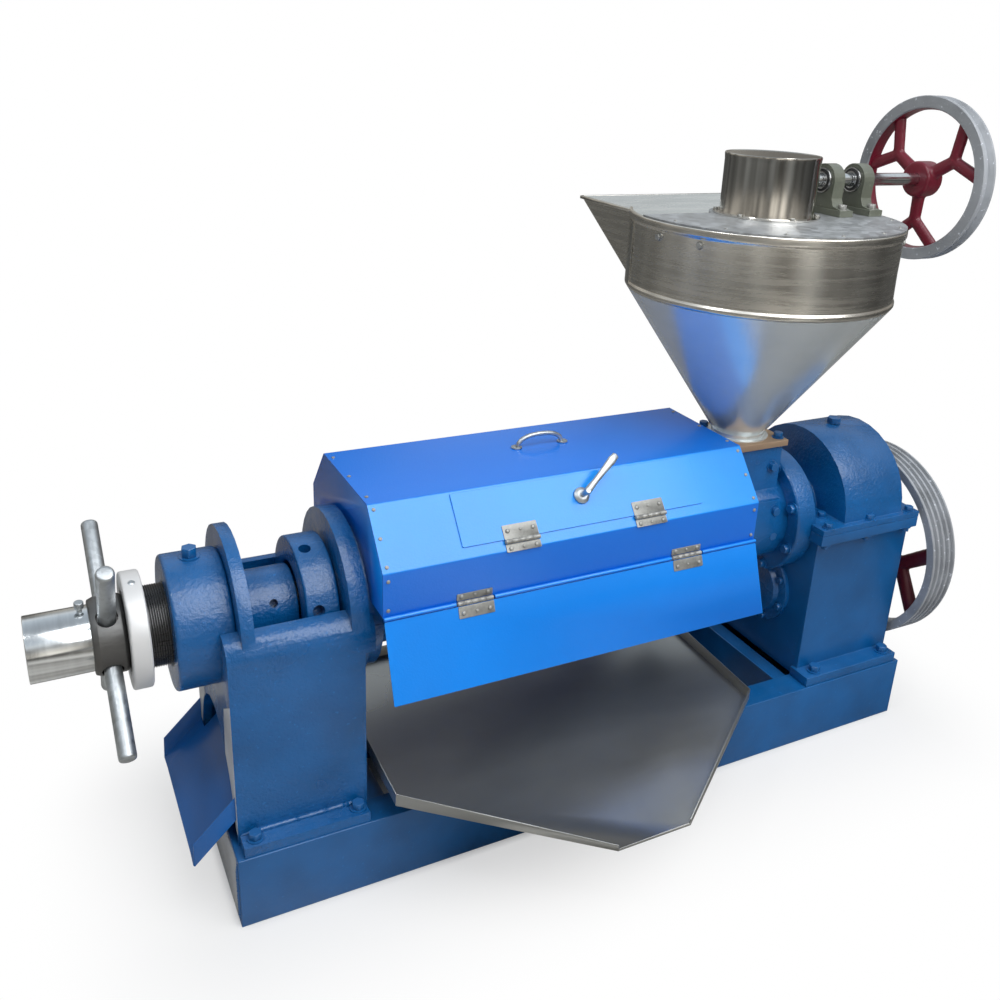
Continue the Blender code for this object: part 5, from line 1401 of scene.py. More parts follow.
    def latch_grip(self, place: Matrix) -> bpy.types.Object:
        """Flattened lever of the latch, wider towards its end.

        Args:
            place: plane of the latch.

        Returns:
            The lever.
        """
        way = Vector((0.78, 0.60, 0.14)).normalized()
        side = Vector((-way.y, way.x, 0)).normalized()
        up = way.cross(side)
        bm = bmesh.new()
        rows = []
        for share, wide, thick in ((0.0, 0.0075, 0.0065), (0.10, 0.0072, 0.0055), (0.3, 0.0058, 0.0036),
                                   (0.55, 0.0066, 0.0034), (0.85, 0.0088, 0.0036), (0.98, 0.0070, 0.0030),
                                   (1.0, 0.0030, 0.0014)):
            centre = Vector((0, 0, 0.0265)) + way * 0.100 * share
            row = []
            for index in range(16):
                turn = math.tau * index / 16
                point = centre + side * wide * math.cos(turn) + up * thick * math.sin(turn)
                row.append(bm.verts.new(place @ point))
            rows.append(row)
        skin_rows(bm, rows, closed=True)
        return add_piece("grip", bm, 60)

    def build_flap(self) -> None:
        """Hanging flap with hinges."""
        reach = (Vector((-self.flap[0], self.flap[1])) - self.flap_axis()).length
        head = self.pin + GAP
        width = self.x[1] - self.x[0]
        place = self.flap_plane(self.x[0], reach, -self.sheet / 2)
        outline = [(0, 0), (width, 0), (width, reach - head), (0, reach - head)]
        axis = self.flap_axis()
        clear = self.hinge_length / 2 + 0.0030
        rounded = round_corners(outline, 0.002, True, 2)
        parts = [slab("flap_plate", rounded, self.sheet, place, 0.0006, 1)]
        ends = [x + side * clear for x in self.flap_hinges for side in (-1, 1)]
        stops = [self.x[0], *ends, self.x[1]]
        for low, high in zip(stops[::2], stops[1::2]):
            hem = bar("flap_hem", (low, axis.x, axis.y), (high, axis.x, axis.y), 0.0042, 0.001, 20)
            parts.append(hem)
        put(merge("flap_sheet", parts), "flap", GUARD, "front_flap")
        for index, x in enumerate(self.flap_hinges):
            leaf = self.flap_plane(x, head + 0.0005, self.sheet / 2)
            put(self.hinge_leaf(f"flap_leaf_{index + 1}", leaf, -0.022), "flap", HINGE)
            seat = (x, -self.fold[0] - GAP, self.side_foot + 0.0045)
            fixed = plane_at(seat, (1, 0, 0), (0, 0, 1))
            plate = self.hinge_leaf(f"flap_hinge_leaf_{index + 1}", fixed, 0.0135)
            hinge = merge(f"flap_hinge_fixed_{index + 1}", [plate, self.knuckle("knuckle", x, axis)])
            put(hinge, "frame", HINGE, f"flap_hinge_{index + 1}")

    def build_handle(self) -> None:
        """Bow handle with flattened feet and screws."""
        foot = self.top[1] + GAP
        centre = Vector((self.handle_x, 0.022, foot))
        half, height = self.handle_half, 0.024
        points = [(-half, 0.001), (-half, 0.007), (-half + 0.006, 0.015), (-half + 0.018, 0.021),
                  (-0.018, height), (0.018, height), (half - 0.018, 0.021), (half - 0.006, 0.015),
                  (half, 0.007), (half, 0.001)]
        data = bpy.data.curves.new("bow", "CURVE")
        data.dimensions = "3D"
        data.bevel_depth = 0.0048
        data.bevel_resolution = 5
        data.use_fill_caps = True
        line = data.splines.new("BEZIER")
        line.bezier_points.add(len(points) - 1)
        for point, (along, up) in zip(line.bezier_points, points):
            point.co = centre + Vector((along, 0, up))
            point.handle_left_type = point.handle_right_type = "AUTO"
        parts = [place_object("bow", data)]
        ear = round_corners([(0.0, 0.0), (0.0115, 0.0), (0.0115, 0.003), (0.0, 0.003)], 0.001, False, 2)
        for side in (-1, 1):
            seat = centre + Vector((side * (half + 0.004), 0, 0))
            parts.append(lathe("ear", ear, seat, Axis.Z, closed=False, segments=32))
            seat = centre + Vector((side * (half + 0.0095), 0, 0.003))
            parts.append(fastener("ear_screw", seat, (0, 0, 1), 0.0038, Head.PAN))
        put(merge("bow_handle", parts), "frame", ZINC, "lift_handle")

    def build_rivets(self) -> None:
        """Pop rivets that hold the end plates."""
        rise = self.rise()
        seats = []
        for x in (self.x[0] + 0.010, self.x[1] - 0.010):
            for up in (0.012, 0.064, 0.118):
                point = self.slope(up, 0.0)
                seats.append(((x, point.x, point.y), (0, -rise.y, rise.x)))
                seats.append(((x, -point.x, point.y), (0, rise.y, rise.x)))
            for z in (0.610, 0.668):
                for side in (-1, 1):
                    seats.append(((x, side * self.fold[0], z), (0, side, 0)))
            for y in (-0.100, 0.0, 0.100):
                seats.append(((x, y, self.top[1]), (0, 0, 1)))
        heads = [fastener("rivet", seat, out, 0.0036, Head.DOME) for seat, out in seats]
        put(merge("guard_rivets", heads), "frame", HINGE)

    def build(self) -> None:
        """Build the guard and what it carries."""
        self.build_shell()
        keep("guard_end_left", GUARD, 0.0006, 1)
        keep("guard_end_right", GUARD, 0.0006, 1)
        self.build_door()
        self.build_latch()
        self.build_flap()
        self.build_handle()
        self.build_rivets()


@dataclass
class Hopper:
    """Sheet hopper with its mouth, lid, bevel can and agitator drive."""

    x: float = 1.210
    outlet: float = 0.7528 + GAP
    cone_top: float = 1.084
    drum_top: float = 1.245
    radius: float = 0.284
    rim: float = 0.289
    rim_bolt_z: float = 1.213
    neck: float = 0.060
    sheet: float = 0.0025
    mouth_half: float = 0.229
    mouth_tip: Pair = (0.386, 1.240)
    mouth_root: Pair = (0.166, 1.102)
    lid_rear: float = 0.043
    lid_ring: float = 0.120
    lid_sheet: float = 0.003
    can_radius: float = 0.100
    can: Pair = (1.2486, 1.373)
    agitator: float = 1.319
    rod: Pair = (1.2300, 1.693)
    blocks: tuple[float, float] = (1.373, 1.459)
    block_rise: float = 0.0036

    def build_cone(self) -> None:
        """Cone with a folded lower flange and a seam up its back."""
        foot, neck = self.outlet, self.neck
        corners = [(self.radius, self.cone_top), (neck, foot + 0.012), (neck, foot + 0.003),
                   (neck + 0.010, foot + 0.0025), (neck + 0.010, foot), (neck - self.sheet, foot),
                   (neck - self.sheet, foot + 0.012), (self.radius - self.sheet, self.cone_top)]
        cone = lathe("cone_rolled", corners, (self.x, 0, 0), Axis.Z, segments=WIDE_ROUND)
        put(cone, "frame", CONE_SHEET, "hopper_cone")
        rise = self.cone_top - foot - 0.012
        slant = (self.radius - self.neck) / rise
        bm = bmesh.new()
        rows = []
        for index in range(24):
            z = foot + 0.014 + (rise - 0.004) * index / 23
            radius = self.neck + (z - foot - 0.012) * slant + 0.0012
            row = []
            for turn, lift in ((101.0, 0.0), (101.5, 0.0012), (103.6, 0.0012), (104.1, 0.0)):
                angle = math.radians(turn)
                row.append(bm.verts.new((self.x + (radius + lift) * math.cos(angle),
                                         (radius + lift) * math.sin(angle), z)))
            rows.append(row)
        skin_rows(bm, rows, closed=False)
        put(add_piece("cone_seam", bm), "frame", CONE_SHEET)

    def build_drum(self) -> None:
        """Drum with a beaded foot, a flanged rim and the wedge mouth at the back."""
        low, high = self.cone_top + GAP, self.drum_top
        inner = self.radius - self.sheet
        outer = [(inner, low), (self.radius, low), (self.radius + 0.0028, low + 0.004),
                 (self.radius + 0.0028, low + 0.010), (self.radius, low + 0.015),
                 (self.radius - 0.001, low + 0.070), (self.radius, high - 0.020),
                 (self.rim - 0.001, high - 0.016), (self.rim, high - 0.013), (self.rim, high - 0.002),
                 (self.rim - 0.002, high), (inner, high)]
        profile = round_corners(outer, 0.003, True, 2)
        drum = lathe("drum_rolled", profile, (self.x, 0, 0), Axis.Z, segments=WIDE_ROUND)
        root_y, root_z = self.mouth_root
        tip_y, tip_z = self.mouth_tip
        half = self.mouth_half
        outline = [(0.10, root_z), (root_y, root_z), (tip_y, tip_z), (0.10, tip_z)]
        solid = slab("mouth_solid", outline, 2 * half, cross_plane(self.x - half))
        carve(drum, "UNION", [solid])
        rise = Vector((tip_y - root_y, tip_z - root_z)).normalized()
        lift = Vector((-rise.y, rise.x)) * self.sheet
        start = Vector(self.mouth_root) + lift
        end = start + rise * 0.34
        outline = [(-0.05, start.y), tuple(start), tuple(end), (-0.05, end.y)]
        place = cross_plane(self.x - half + self.sheet)
        hollow = slab("mouth_hollow", outline, 2 * (half - self.sheet), place)
        corners = [(0.0, low - 0.05), (inner, low - 0.05), (inner, high + 0.05), (0.0, high + 0.05)]
        bore = lathe("drum_hollow", corners, (self.x, 0, 0), Axis.Z, closed=False, segments=WIDE_ROUND)
        carve(drum, "DIFFERENCE", [bore, hollow], 30)
        put(drum, "frame", STAINLESS, "hopper_drum")

    def build_mouth_trim(self) -> None:
        """Turned edges of the mouth and the bolts that hold it."""
        tip_y, tip_z = self.mouth_tip
        parts = []
        for side in (-1, 1):
            x = self.x + side * (self.mouth_half + 0.003)
            wall = self.x + side * self.mouth_half
            low, high = min(x, wall), max(x, wall)
            lip = box_piece("lip_side", (low, high), (0.170, tip_y), (tip_z - 0.007, tip_z), 0.001)
            parts.append(lip)
        x, y = (self.x - self.mouth_half, self.x + self.mouth_half), (tip_y - 0.006, tip_y + 0.002)
        parts.append(box_piece("lip_rear", x, y, (tip_z - 0.003, tip_z), 0.001))
        put(merge("mouth_edges", parts), "frame", STAINLESS)
        heads = []
        for degrees in (40.0, 184.0, 205.0, 320.0, 355.0):
            turn = math.radians(degrees)
            way = Vector((math.cos(turn), math.sin(turn), 0))
            seat = Vector((self.x, 0, self.rim_bolt_z)) + way * self.radius
            heads.append(fastener("rim_bolt", seat, way, 0.0056, height=0.006))
        put(merge("drum_bolts", heads), "frame", HINGE)
        bm = bmesh.new()
        for first in (20.0, 144.5):
            rows = []
            for index in range(9):
                turn = math.radians(first + 15.5 * index / 8)
                row = []
                for reach, z in ((0.2838, 1.092), (0.2866, 1.092), (0.2866, 1.226), (0.2838, 1.226)):
                    row.append(bm.verts.new((self.x + reach * math.cos(turn), reach * math.sin(turn), z)))
                rows.append(row)
            skin_rows(bm, rows, closed=True)
        put(add_piece("mouth_laps", bm), "frame", CAN_SHEET)

    def build_lid(self) -> None:
        """Galvanised half lid with its curved rear edge and screws."""
        z = self.drum_top + GAP
        radius = self.rim - 0.002
        bm = bmesh.new()
        edge = math.asin(self.lid_rear / radius)
        span = math.pi + 2 * edge
        points = [(radius * math.cos(math.pi - edge + span * index / 96),
                   radius * math.sin(math.pi - edge + span * index / 96)) for index in range(97)]
        ring = self.lid_ring
        near = math.asin(self.lid_rear / ring)
        bow = [(ring * math.cos(near + (math.pi - 2 * near) * index / 40),
                ring * math.sin(near + (math.pi - 2 * near) * index / 40)) for index in range(41)]
        outline = points + bow
        face = bm.faces.new([bm.verts.new((self.x + u, v, z)) for u, v in outline])
        pushed = bmesh.ops.extrude_face_region(bm, geom=[face])
        moved = [item for item in pushed["geom"] if isinstance(item, bmesh.types.BMVert)]
        bmesh.ops.translate(bm, vec=(0, 0, self.lid_sheet), verts=moved)
        lid = add_piece("lid_plate", bm)
        hole = bar("lid_cut", (self.x, 0, 1.2), (self.x, 0, 1.3), 0.0125)
        carve(lid, "DIFFERENCE", [hole])
        put(lid, "frame", LID, "hopper_lid")
        heads = [fastener("lid_screw", (*spot, z + self.lid_sheet), (0, 0, 1), 0.0045, Head.PAN)
                 for spot in around((self.x, 0.0), 0.272, range(190, 335, 24))]
        put(merge("lid_screws", heads), "frame", HINGE)

    def build_can(self) -> None:
        """Bevel gear can with a lapped top and a flanged foot."""
        low, high = self.can
        r = self.can_radius
        corners = [(0.0, high - 0.0009), (r - 0.005, high - 0.0009), (r - 0.0040, high - 0.0002),
                   (r - 0.0030, high), (r - 0.0012, high), (r - 0.0003, high - 0.0008),
                   (r, high - 0.004), (r - 0.001, high - 0.014), (r - 0.0015, low + 0.012),
                   (r, low + 0.004), (0.112, low + 0.003), (0.112, low), (r - 0.004, low),
                   (r - 0.004, high - 0.007), (0.0, high - 0.0065)]
        can = lathe("can_spun", corners, (self.x, 0, 0), Axis.Z, closed=False, segments=ROUND)
        hole = bar("can_cut", (1.27, 0, self.agitator), (1.34, 0, self.agitator), 0.0162)
        carve(can, "DIFFERENCE", [hole], 30)
        put(can, "frame", CAN_SHEET, "bevel_can")
        corners = [(0.0165, 0.0), (0.030, 0.0), (0.030, 0.006), (0.0165, 0.006)]
        seat = (self.x + r - 0.003, 0, self.agitator)
        put(lathe("can_collar", round_corners(corners, 0.001), seat, segments=48), "frame", OLIVE)
        heads = [fastener("can_bolt", (*spot, low + 0.003), (0, 0, 1), 0.0045, washer=False)
                 for spot in around((self.x, 0.0), 0.106, range(20, 380, 60))]
        put(merge("can_bolts", heads), "frame", HINGE)

    def build_blocks(self) -> None:
        """Cast plummer blocks with their caps and bolts."""
        foot, z = self.drum_top + self.block_rise, self.agitator
        for index, x in enumerate(self.blocks):
            outline = [(-0.068, foot), (0.068, foot), (0.068, foot + 0.013), (0.040, foot + 0.019),
                       (0.033, foot + 0.035), (0.035, z)]
            for step in range(13):
                turn = math.pi * step / 12
                outline.append((0.035 * math.cos(turn), z + 0.035 * math.sin(turn)))
            outline += [(-0.033, foot + 0.035), (-0.040, foot + 0.019), (-0.068, foot + 0.013)]
            rounded = round_corners(outline, 0.004, True, 2)
            body = slab("block_body", rounded, 0.030, cross_plane(x - 0.015))
            base = box_piece("block_base", (x - 0.019, x + 0.019), (-0.068, 0.068), (foot, foot + 0.013))
            boss = bar("block_boss", (x - 0.018, 0, z), (x + 0.018, 0, z), 0.026)
            bore = bar("block_bore", (x - 0.03, 0, z), (x + 0.03, 0, z), 0.0145)
            carve(body, "UNION", [base, boss])
            carve(body, "DIFFERENCE", [bore])
            soften(body, 0.0022, 3)
            put(body, "frame", OLIVE, f"pillow_block_{index + 1}")
            self.build_insert(index, x)
            heads = [fastener("block_bolt", (x, side * 0.053, foot + 0.013), (0, 0, 1), 0.0085)
                     for side in (-1, 1)]
            put(merge(f"block_bolts_{index + 1}", heads), "frame", HINGE)

    def build_insert(self, index: int, x: float) -> None:
        """Bearing insert of one block: races with a dark seal between them.

        Args:
            index: number of the block, from zero.
            x: the block's middle along the shaft.
        """
        place = (x - 0.0195, 0, self.agitator)
        corners = [(0.0185, 0.0), (0.0250, 0.0), (0.0250, 0.039), (0.0185, 0.039)]
        seal = lathe(f"insert_seal_{index + 1}", corners, place, segments=64)
        put(seal, "frame", SEAL)
        rings = []
        for low, high, reach in ((0.0146, 0.0185, 0.003), (0.0238, 0.0268, 0.001)):
            corners = [(low, -reach), (high, -reach), (high, 0.039 + reach), (low, 0.039 + reach)]
            rings.append(lathe("race", round_corners(corners, 0.0008, True, 2), place, segments=64))
        put(merge(f"insert_races_{index + 1}", rings), "frame", RACE)

    def build(self) -> None:
        """Build the hopper and the drive on its lid."""
        self.build_cone()
        self.build_drum()
        self.build_mouth_trim()
        self.build_lid()
        self.build_can()
        self.build_blocks()
        keep("stirrer", ZINC)
        keep("crown_gear", WORM, 0.0005, 1)
        keep("bevel_pinion", WORM, 0.0005, 1)
        ends = [(x, 0, self.agitator) for x in self.rod]
        rod = bar("agitator_rod", *ends, 0.014, 0.003, 48)
        put(rod, "agitator_drive", CHROME, "agitator_shaft")


@dataclass
class BeltWheel:
    """Cast pulley with a grooved rim, a hub and three forked arms."""

    name: str
    node: str
    body: str
    x: Pair
    radius: float
    rim: float
    centre: float
    hub: float
    bore: float
    first: float
    grooves: int
    depth: float
    voxel: float
    hub_reach: float = 0.0
    painted_inside: bool = False
    arms: Finish = CRIMSON

    def rim_profile(self) -> list[Pair]:
        """Section of the rim with its grooves.

        Returns:
            Its (radius, height) pairs, height zero in the middle of the rim.
        """
        half = (self.x[1] - self.x[0]) / 2
        inner = self.radius - self.rim
        if self.grooves == 1:
            groove = [(self.radius, 0.012), (self.radius - self.depth, 0.005),
                      (self.radius - self.depth, -0.005), (self.radius, -0.012)]
        else:
            land = 0.006
            width = (2 * half - land * (self.grooves + 1)) / self.grooves
            groove = []
            for index in range(self.grooves):
                top = half - land - index * (width + land)
                groove += [(self.radius, top), (self.radius - self.depth, top - width * 0.38),
                           (self.radius - self.depth, top - width * 0.62), (self.radius, top - width)]
        return [(self.radius - 0.0015, half), (self.radius, half - 0.0015), *groove,
                (self.radius, 0.0015 - half), (self.radius - 0.0015, -half), (inner + 0.002, -half),
                (inner, 0.003 - half), (inner - 0.003, 0.0), (inner, half - 0.003), (inner + 0.002, half)]

    def tapered(self, name: str, start: Vector, end: Vector, wide: Pair, thick: Pair) -> bpy.types.Object:
        """One arm whose oval section changes along it.

        Args:
            name: the piece's name.
            start: middle of its first end.
            end: middle of its other end.
            wide: half its width at each end.
            thick: half its depth along the shaft at each end.

        Returns:
            The arm.
        """
        along = (end - start).normalized()
        shaft = Vector((1, 0, 0))
        side = shaft.cross(along).normalized()
        bm = bmesh.new()
        rows = []
        for share in (0.0, 0.5, 1.0):
            centre = start.lerp(end, share)
            width = wide[0] + (wide[1] - wide[0]) * share
            depth = thick[0] + (thick[1] - thick[0]) * share
            row = []
            for index in range(14):
                turn = math.tau * index / 14
                point = centre + side * width * math.cos(turn) + shaft * depth * math.sin(turn)
                row.append(bm.verts.new(point))
            rows.append(row)
        skin_rows(bm, rows, closed=True)
        return add_piece(name, bm)

    def build(self) -> None:
        """Build the rim, its coat inside and the spider."""
        middle = (self.x[0] + self.x[1]) / 2
        seat = (middle, 0, self.centre)
        origin = Vector(seat)
        rim = lathe(f"{self.name}_rim", self.rim_profile(), seat, segments=WIDE_ROUND, sharp=28)
        put(rim, self.body, RIM_SILVER, self.node)
        if self.painted_inside:
            inner, half = self.radius - self.rim, (self.x[1] - self.x[0]) / 2 - 0.0035
            profile = [(inner - 0.0034, 0.0), (inner - 0.0006, half), (inner + 0.001, half),
                       (inner + 0.001, -half), (inner - 0.0006, -half)]
            coat = lathe(f"{self.name}_inner_coat", profile, seat, segments=WIDE_ROUND)
            put(coat, self.body, self.arms)
        width = self.radius
        fork, inside = 0.53 * width, self.radius - self.rim
        parts = []
        half_hub = (self.x[1] - self.x[0]) * 0.36 + self.hub_reach
        hub = [(0.0, -half_hub), (self.hub, -half_hub), (self.hub, half_hub), (0.0, half_hub)]
        parts.append(lathe("hub_blank", hub, origin, closed=False, segments=48))
        for index in range(3):
            turn = self.first + 120 * index
            way = spoke(turn)
            parts.append(self.tapered("stem", origin + way * self.hub * 0.4, origin + way * fork * 1.02,
                                      (0.094 * width, 0.080 * width), (0.066 * width, 0.058 * width)))
            for side in (-1, 1):
                start = origin + way * fork * 0.96
                end = origin + spoke(turn + side * 24) * (inside + 0.003)
                parts.append(self.tapered("fork", start, end, (0.076 * width, 0.082 * width),
                                          (0.058 * width, 0.058 * width)))
        spider = merge(f"{self.name}_spider", parts)
        remesh = spider.modifiers.new("cast", "REMESH")
        remesh.mode = "VOXEL"
        remesh.voxel_size = self.voxel
        relax = spider.modifiers.new("fillets", "SMOOTH")
        relax.factor = 0.5
        relax.iterations = 5
        settle(spider, 80)
        ends = [(middle + reach, 0, self.centre) for reach in (-0.08, 0.08)]
        bore = bar("wheel_bore", *ends, self.bore + 0.0004)
        carve(spider, "DIFFERENCE", [bore], 60)
        put(spider, self.body, self.arms)


@dataclass
class DriveTrain:
    """Gearbox, bearing covers, shafts and pulleys."""

    axis: float = 0.547
    input_axis: float = 0.403
    input_rod: Pair = (1.428, 1.740)
    flange: Pair = (0.522, 0.5625)
    cap: Pair = (-0.010, 0.340)

    def build_cases(self) -> None:
        """Gearbox cases and covers with softened edges."""
        keep("gearbox_body", PLATE, 0.003, 3)
        keep("gearbox_cover", CASTING, 0.003, 3)
        keep("oil_plug", PLATE, 0.001, 2)
        corners = [(0.0457, 0.0), (0.146, 0.0), (0.150, 0.004), (0.150, 0.050), (0.148, 0.0527),
                   (0.0457, 0.0527)]
        profile = round_corners(corners, 0.002, True, 2)
        housing = lathe("bearing_housing_turned", profile, (1.299, 0, self.axis), segments=ROUND)
        put(housing, "frame", CASTING, "bearing_housing")
        keep("lower_cap", CASTING, 0.002, 3)
        keep("seal_cap", CASTING, 0.001, 2)

    def build_bolts(self) -> None:
        """Bolts of the split flange, the feet, the bearing housing and the caps."""
        low, top = self.flange
        heads = []
        for side in (-1, 1):
            for x in (1.362, 1.490, 1.618):
                heads.append(fastener("flange_bolt", (x, side * 0.1785, top), (0, 0, 1), 0.009))
                heads.append(fastener("flange_nut", (x, side * 0.1785, low), (0, 0, -1), 0.009))
        for y in (-0.125, 0.125):
            heads.append(fastener("flange_bolt", (1.390, y, top), (0, 0, 1), 0.009))
            heads.append(fastener("flange_bolt", (1.6175, y, top), (0, 0, 1), 0.009))
        for side in (-1, 1):
            for x in (1.385, 1.608):
                heads.append(fastener("foot_bolt", (x, side * 0.189, 0.178), (0, 0, 1), 0.012))
        put(merge("gearbox_bolts", heads), "frame", PLATE)
        heads = [fastener("housing_bolt", (1.299, *spot), (-1, 0, 0), 0.0095)
                 for spot in around((0.0, self.axis), 0.134, (22.5 + 45 * index for index in range(8)))]
        heads += [fastener("cap_bolt", (1.3400, *spot), (-1, 0, 0), 0.008)
                  for spot in around(self.cap, 0.082, range(150, 351, 50))]
        put(merge("housing_bolts", heads), "frame", PLATE)

    def build(self) -> None:
        """Build the drive."""
        self.build_cases()
        self.build_bolts()
        keep("bull_gear", WORM, 0.0006, 1)
        keep("input_pinion", WORM, 0.0006, 1)
        ends = [(x, 0, self.input_axis) for x in self.input_rod]
        put(bar("input_rod", *ends, 0.022, 0.002, 48), "input_drive", WORM, "input_shaft")
        # The main pulley's arms take the darker crimson copy, painted shade
        BeltWheel("main_wheel", "main_pulley", "input_drive", x=(1.657, 1.732), radius=0.2525,
                  rim=0.023, centre=self.input_axis, hub=0.046, bore=0.022, first=-11.5, grooves=4,
                  depth=0.011, voxel=0.0045, arms=CRIMSON_IN_SHADE).build()
        BeltWheel("agitator_wheel", "agitator_pulley", "agitator_drive", x=(1.640, 1.678), radius=0.182,
                  rim=0.027, centre=1.319, hub=0.040, bore=0.014, first=30.0, grooves=1,
                  depth=0.010, voxel=0.0032, hub_reach=0.010, painted_inside=True).build()


@dataclass
class PressingLine:
    """Barrel, worms, feed housing and throat."""

    joint_top: float = 0.547 + 0.018
    first_bolt: float = 0.345
    bolt_step: float = 0.115

    def build(self) -> None:
        """Dress the pressing line and bolt it together."""
        for node in ("barrel_upper", "barrel_lower", "feed_housing"):
            keep(node, CASTING, 0.0015, 2)
        keep("throat_plate", RAW, 0.0012, 2)
        for node in ("main_shaft", "cone_ring", "worm_1", "worm_2", "worm_3", "worm_4", "feed_worm"):
            keep(node, WORM)
        heads = []
        for index in range(7):
            for side in (-1, 1):
                x = self.first_bolt + index * self.bolt_step
                heads.append(fastener("joint_bolt", (x, side * 0.139, self.joint_top), (0, 0, 1), 0.007))
        put(merge("joint_bolts", heads), "frame", PLATE)
        heads = []
        for x, y, z, out in ((1.280, -0.060, 0.7531, (0, 0, 1)), (1.160, 0.060, 0.7531, (0, 0, 1)),
                             (1.150, -0.100, 0.560, (0, -1, 0)), (1.262, -0.100, 0.590, (0, -1, 0)),
                             (1.262, -0.100, 0.528, (0, -1, 0)), (1.150, 0.100, 0.560, (0, 1, 0)),
                             (1.262, -0.073, 0.690, (0, -1, 0))):
            heads.append(fastener("feed_bolt", (x, y, z), out, 0.0095))
        put(merge("feed_bolts", heads), "frame", PLATE)


@dataclass
class ChannelFrame:
    """Long channel frame and the oil pan on it."""

    def build(self) -> None:
        """Dress the frame and the pan, with weld beads and the frame's bare end face."""
        keep("base_frame", PLATE, 0.0025, 3)
        keep("oil_pan", PAN_SHEET, 0.0007, 1)
        beads = []
        for side in (-1, 1):
            start, end = (-0.0005, side * 0.205, 0.012), (-0.0005, side * 0.205, 0.144)
            beads.append(weld_bead("bead", start, end, 0.004, 3.0 + side))
        put(merge("frame_weld", beads), "frame", PLATE)
        face = round_corners([(-0.198, 0.006), (0.198, 0.006), (0.198, 0.147), (-0.198, 0.147)], 0.008)
        put(slab("frame_cut_end", face, 0.0012, cross_plane(-0.0013)), "frame", LINER)


# Studio


@dataclass
class PhotoCamera:
    """Camera solved from the photograph."""

    place: tuple[float, float, float] = (-0.2433, -1.6690, 1.5317)
    yaw: float = 28.4
    pitch: float = -20.8
    roll: float = 3.0
    focal: float = 995.7
    centre: Pair = (526.0, 438.0)
    image: float = 1000.0

    def build(self) -> None:
        """Place the camera and make it the scene's."""
        yaw, pitch, roll = (math.radians(value) for value in (self.yaw, self.pitch, self.roll))
        ahead = Vector((math.sin(yaw) * math.cos(pitch), math.cos(yaw) * math.cos(pitch), math.sin(pitch)))
        right = Vector((math.cos(yaw), -math.sin(yaw), 0.0))
        up = right.cross(ahead)
        across = right * math.cos(roll) + up * math.sin(roll)
        above = up * math.cos(roll) - right * math.sin(roll)
        data = bpy.data.cameras.new("camera")
        data.sensor_width = 36.0
        data.lens = 36.0 * self.focal / self.image
        data.shift_x = (self.image / 2 - self.centre[0]) / self.image
        data.shift_y = (self.centre[1] - self.image / 2) / self.image
        data.clip_end = 200.0
        camera = place_object("camera", data)
        turn = Matrix((across, above, -ahead)).transposed().to_4x4()
        camera.matrix_world = Matrix.Translation(self.place) @ turn
        bpy.context.scene.camera = camera


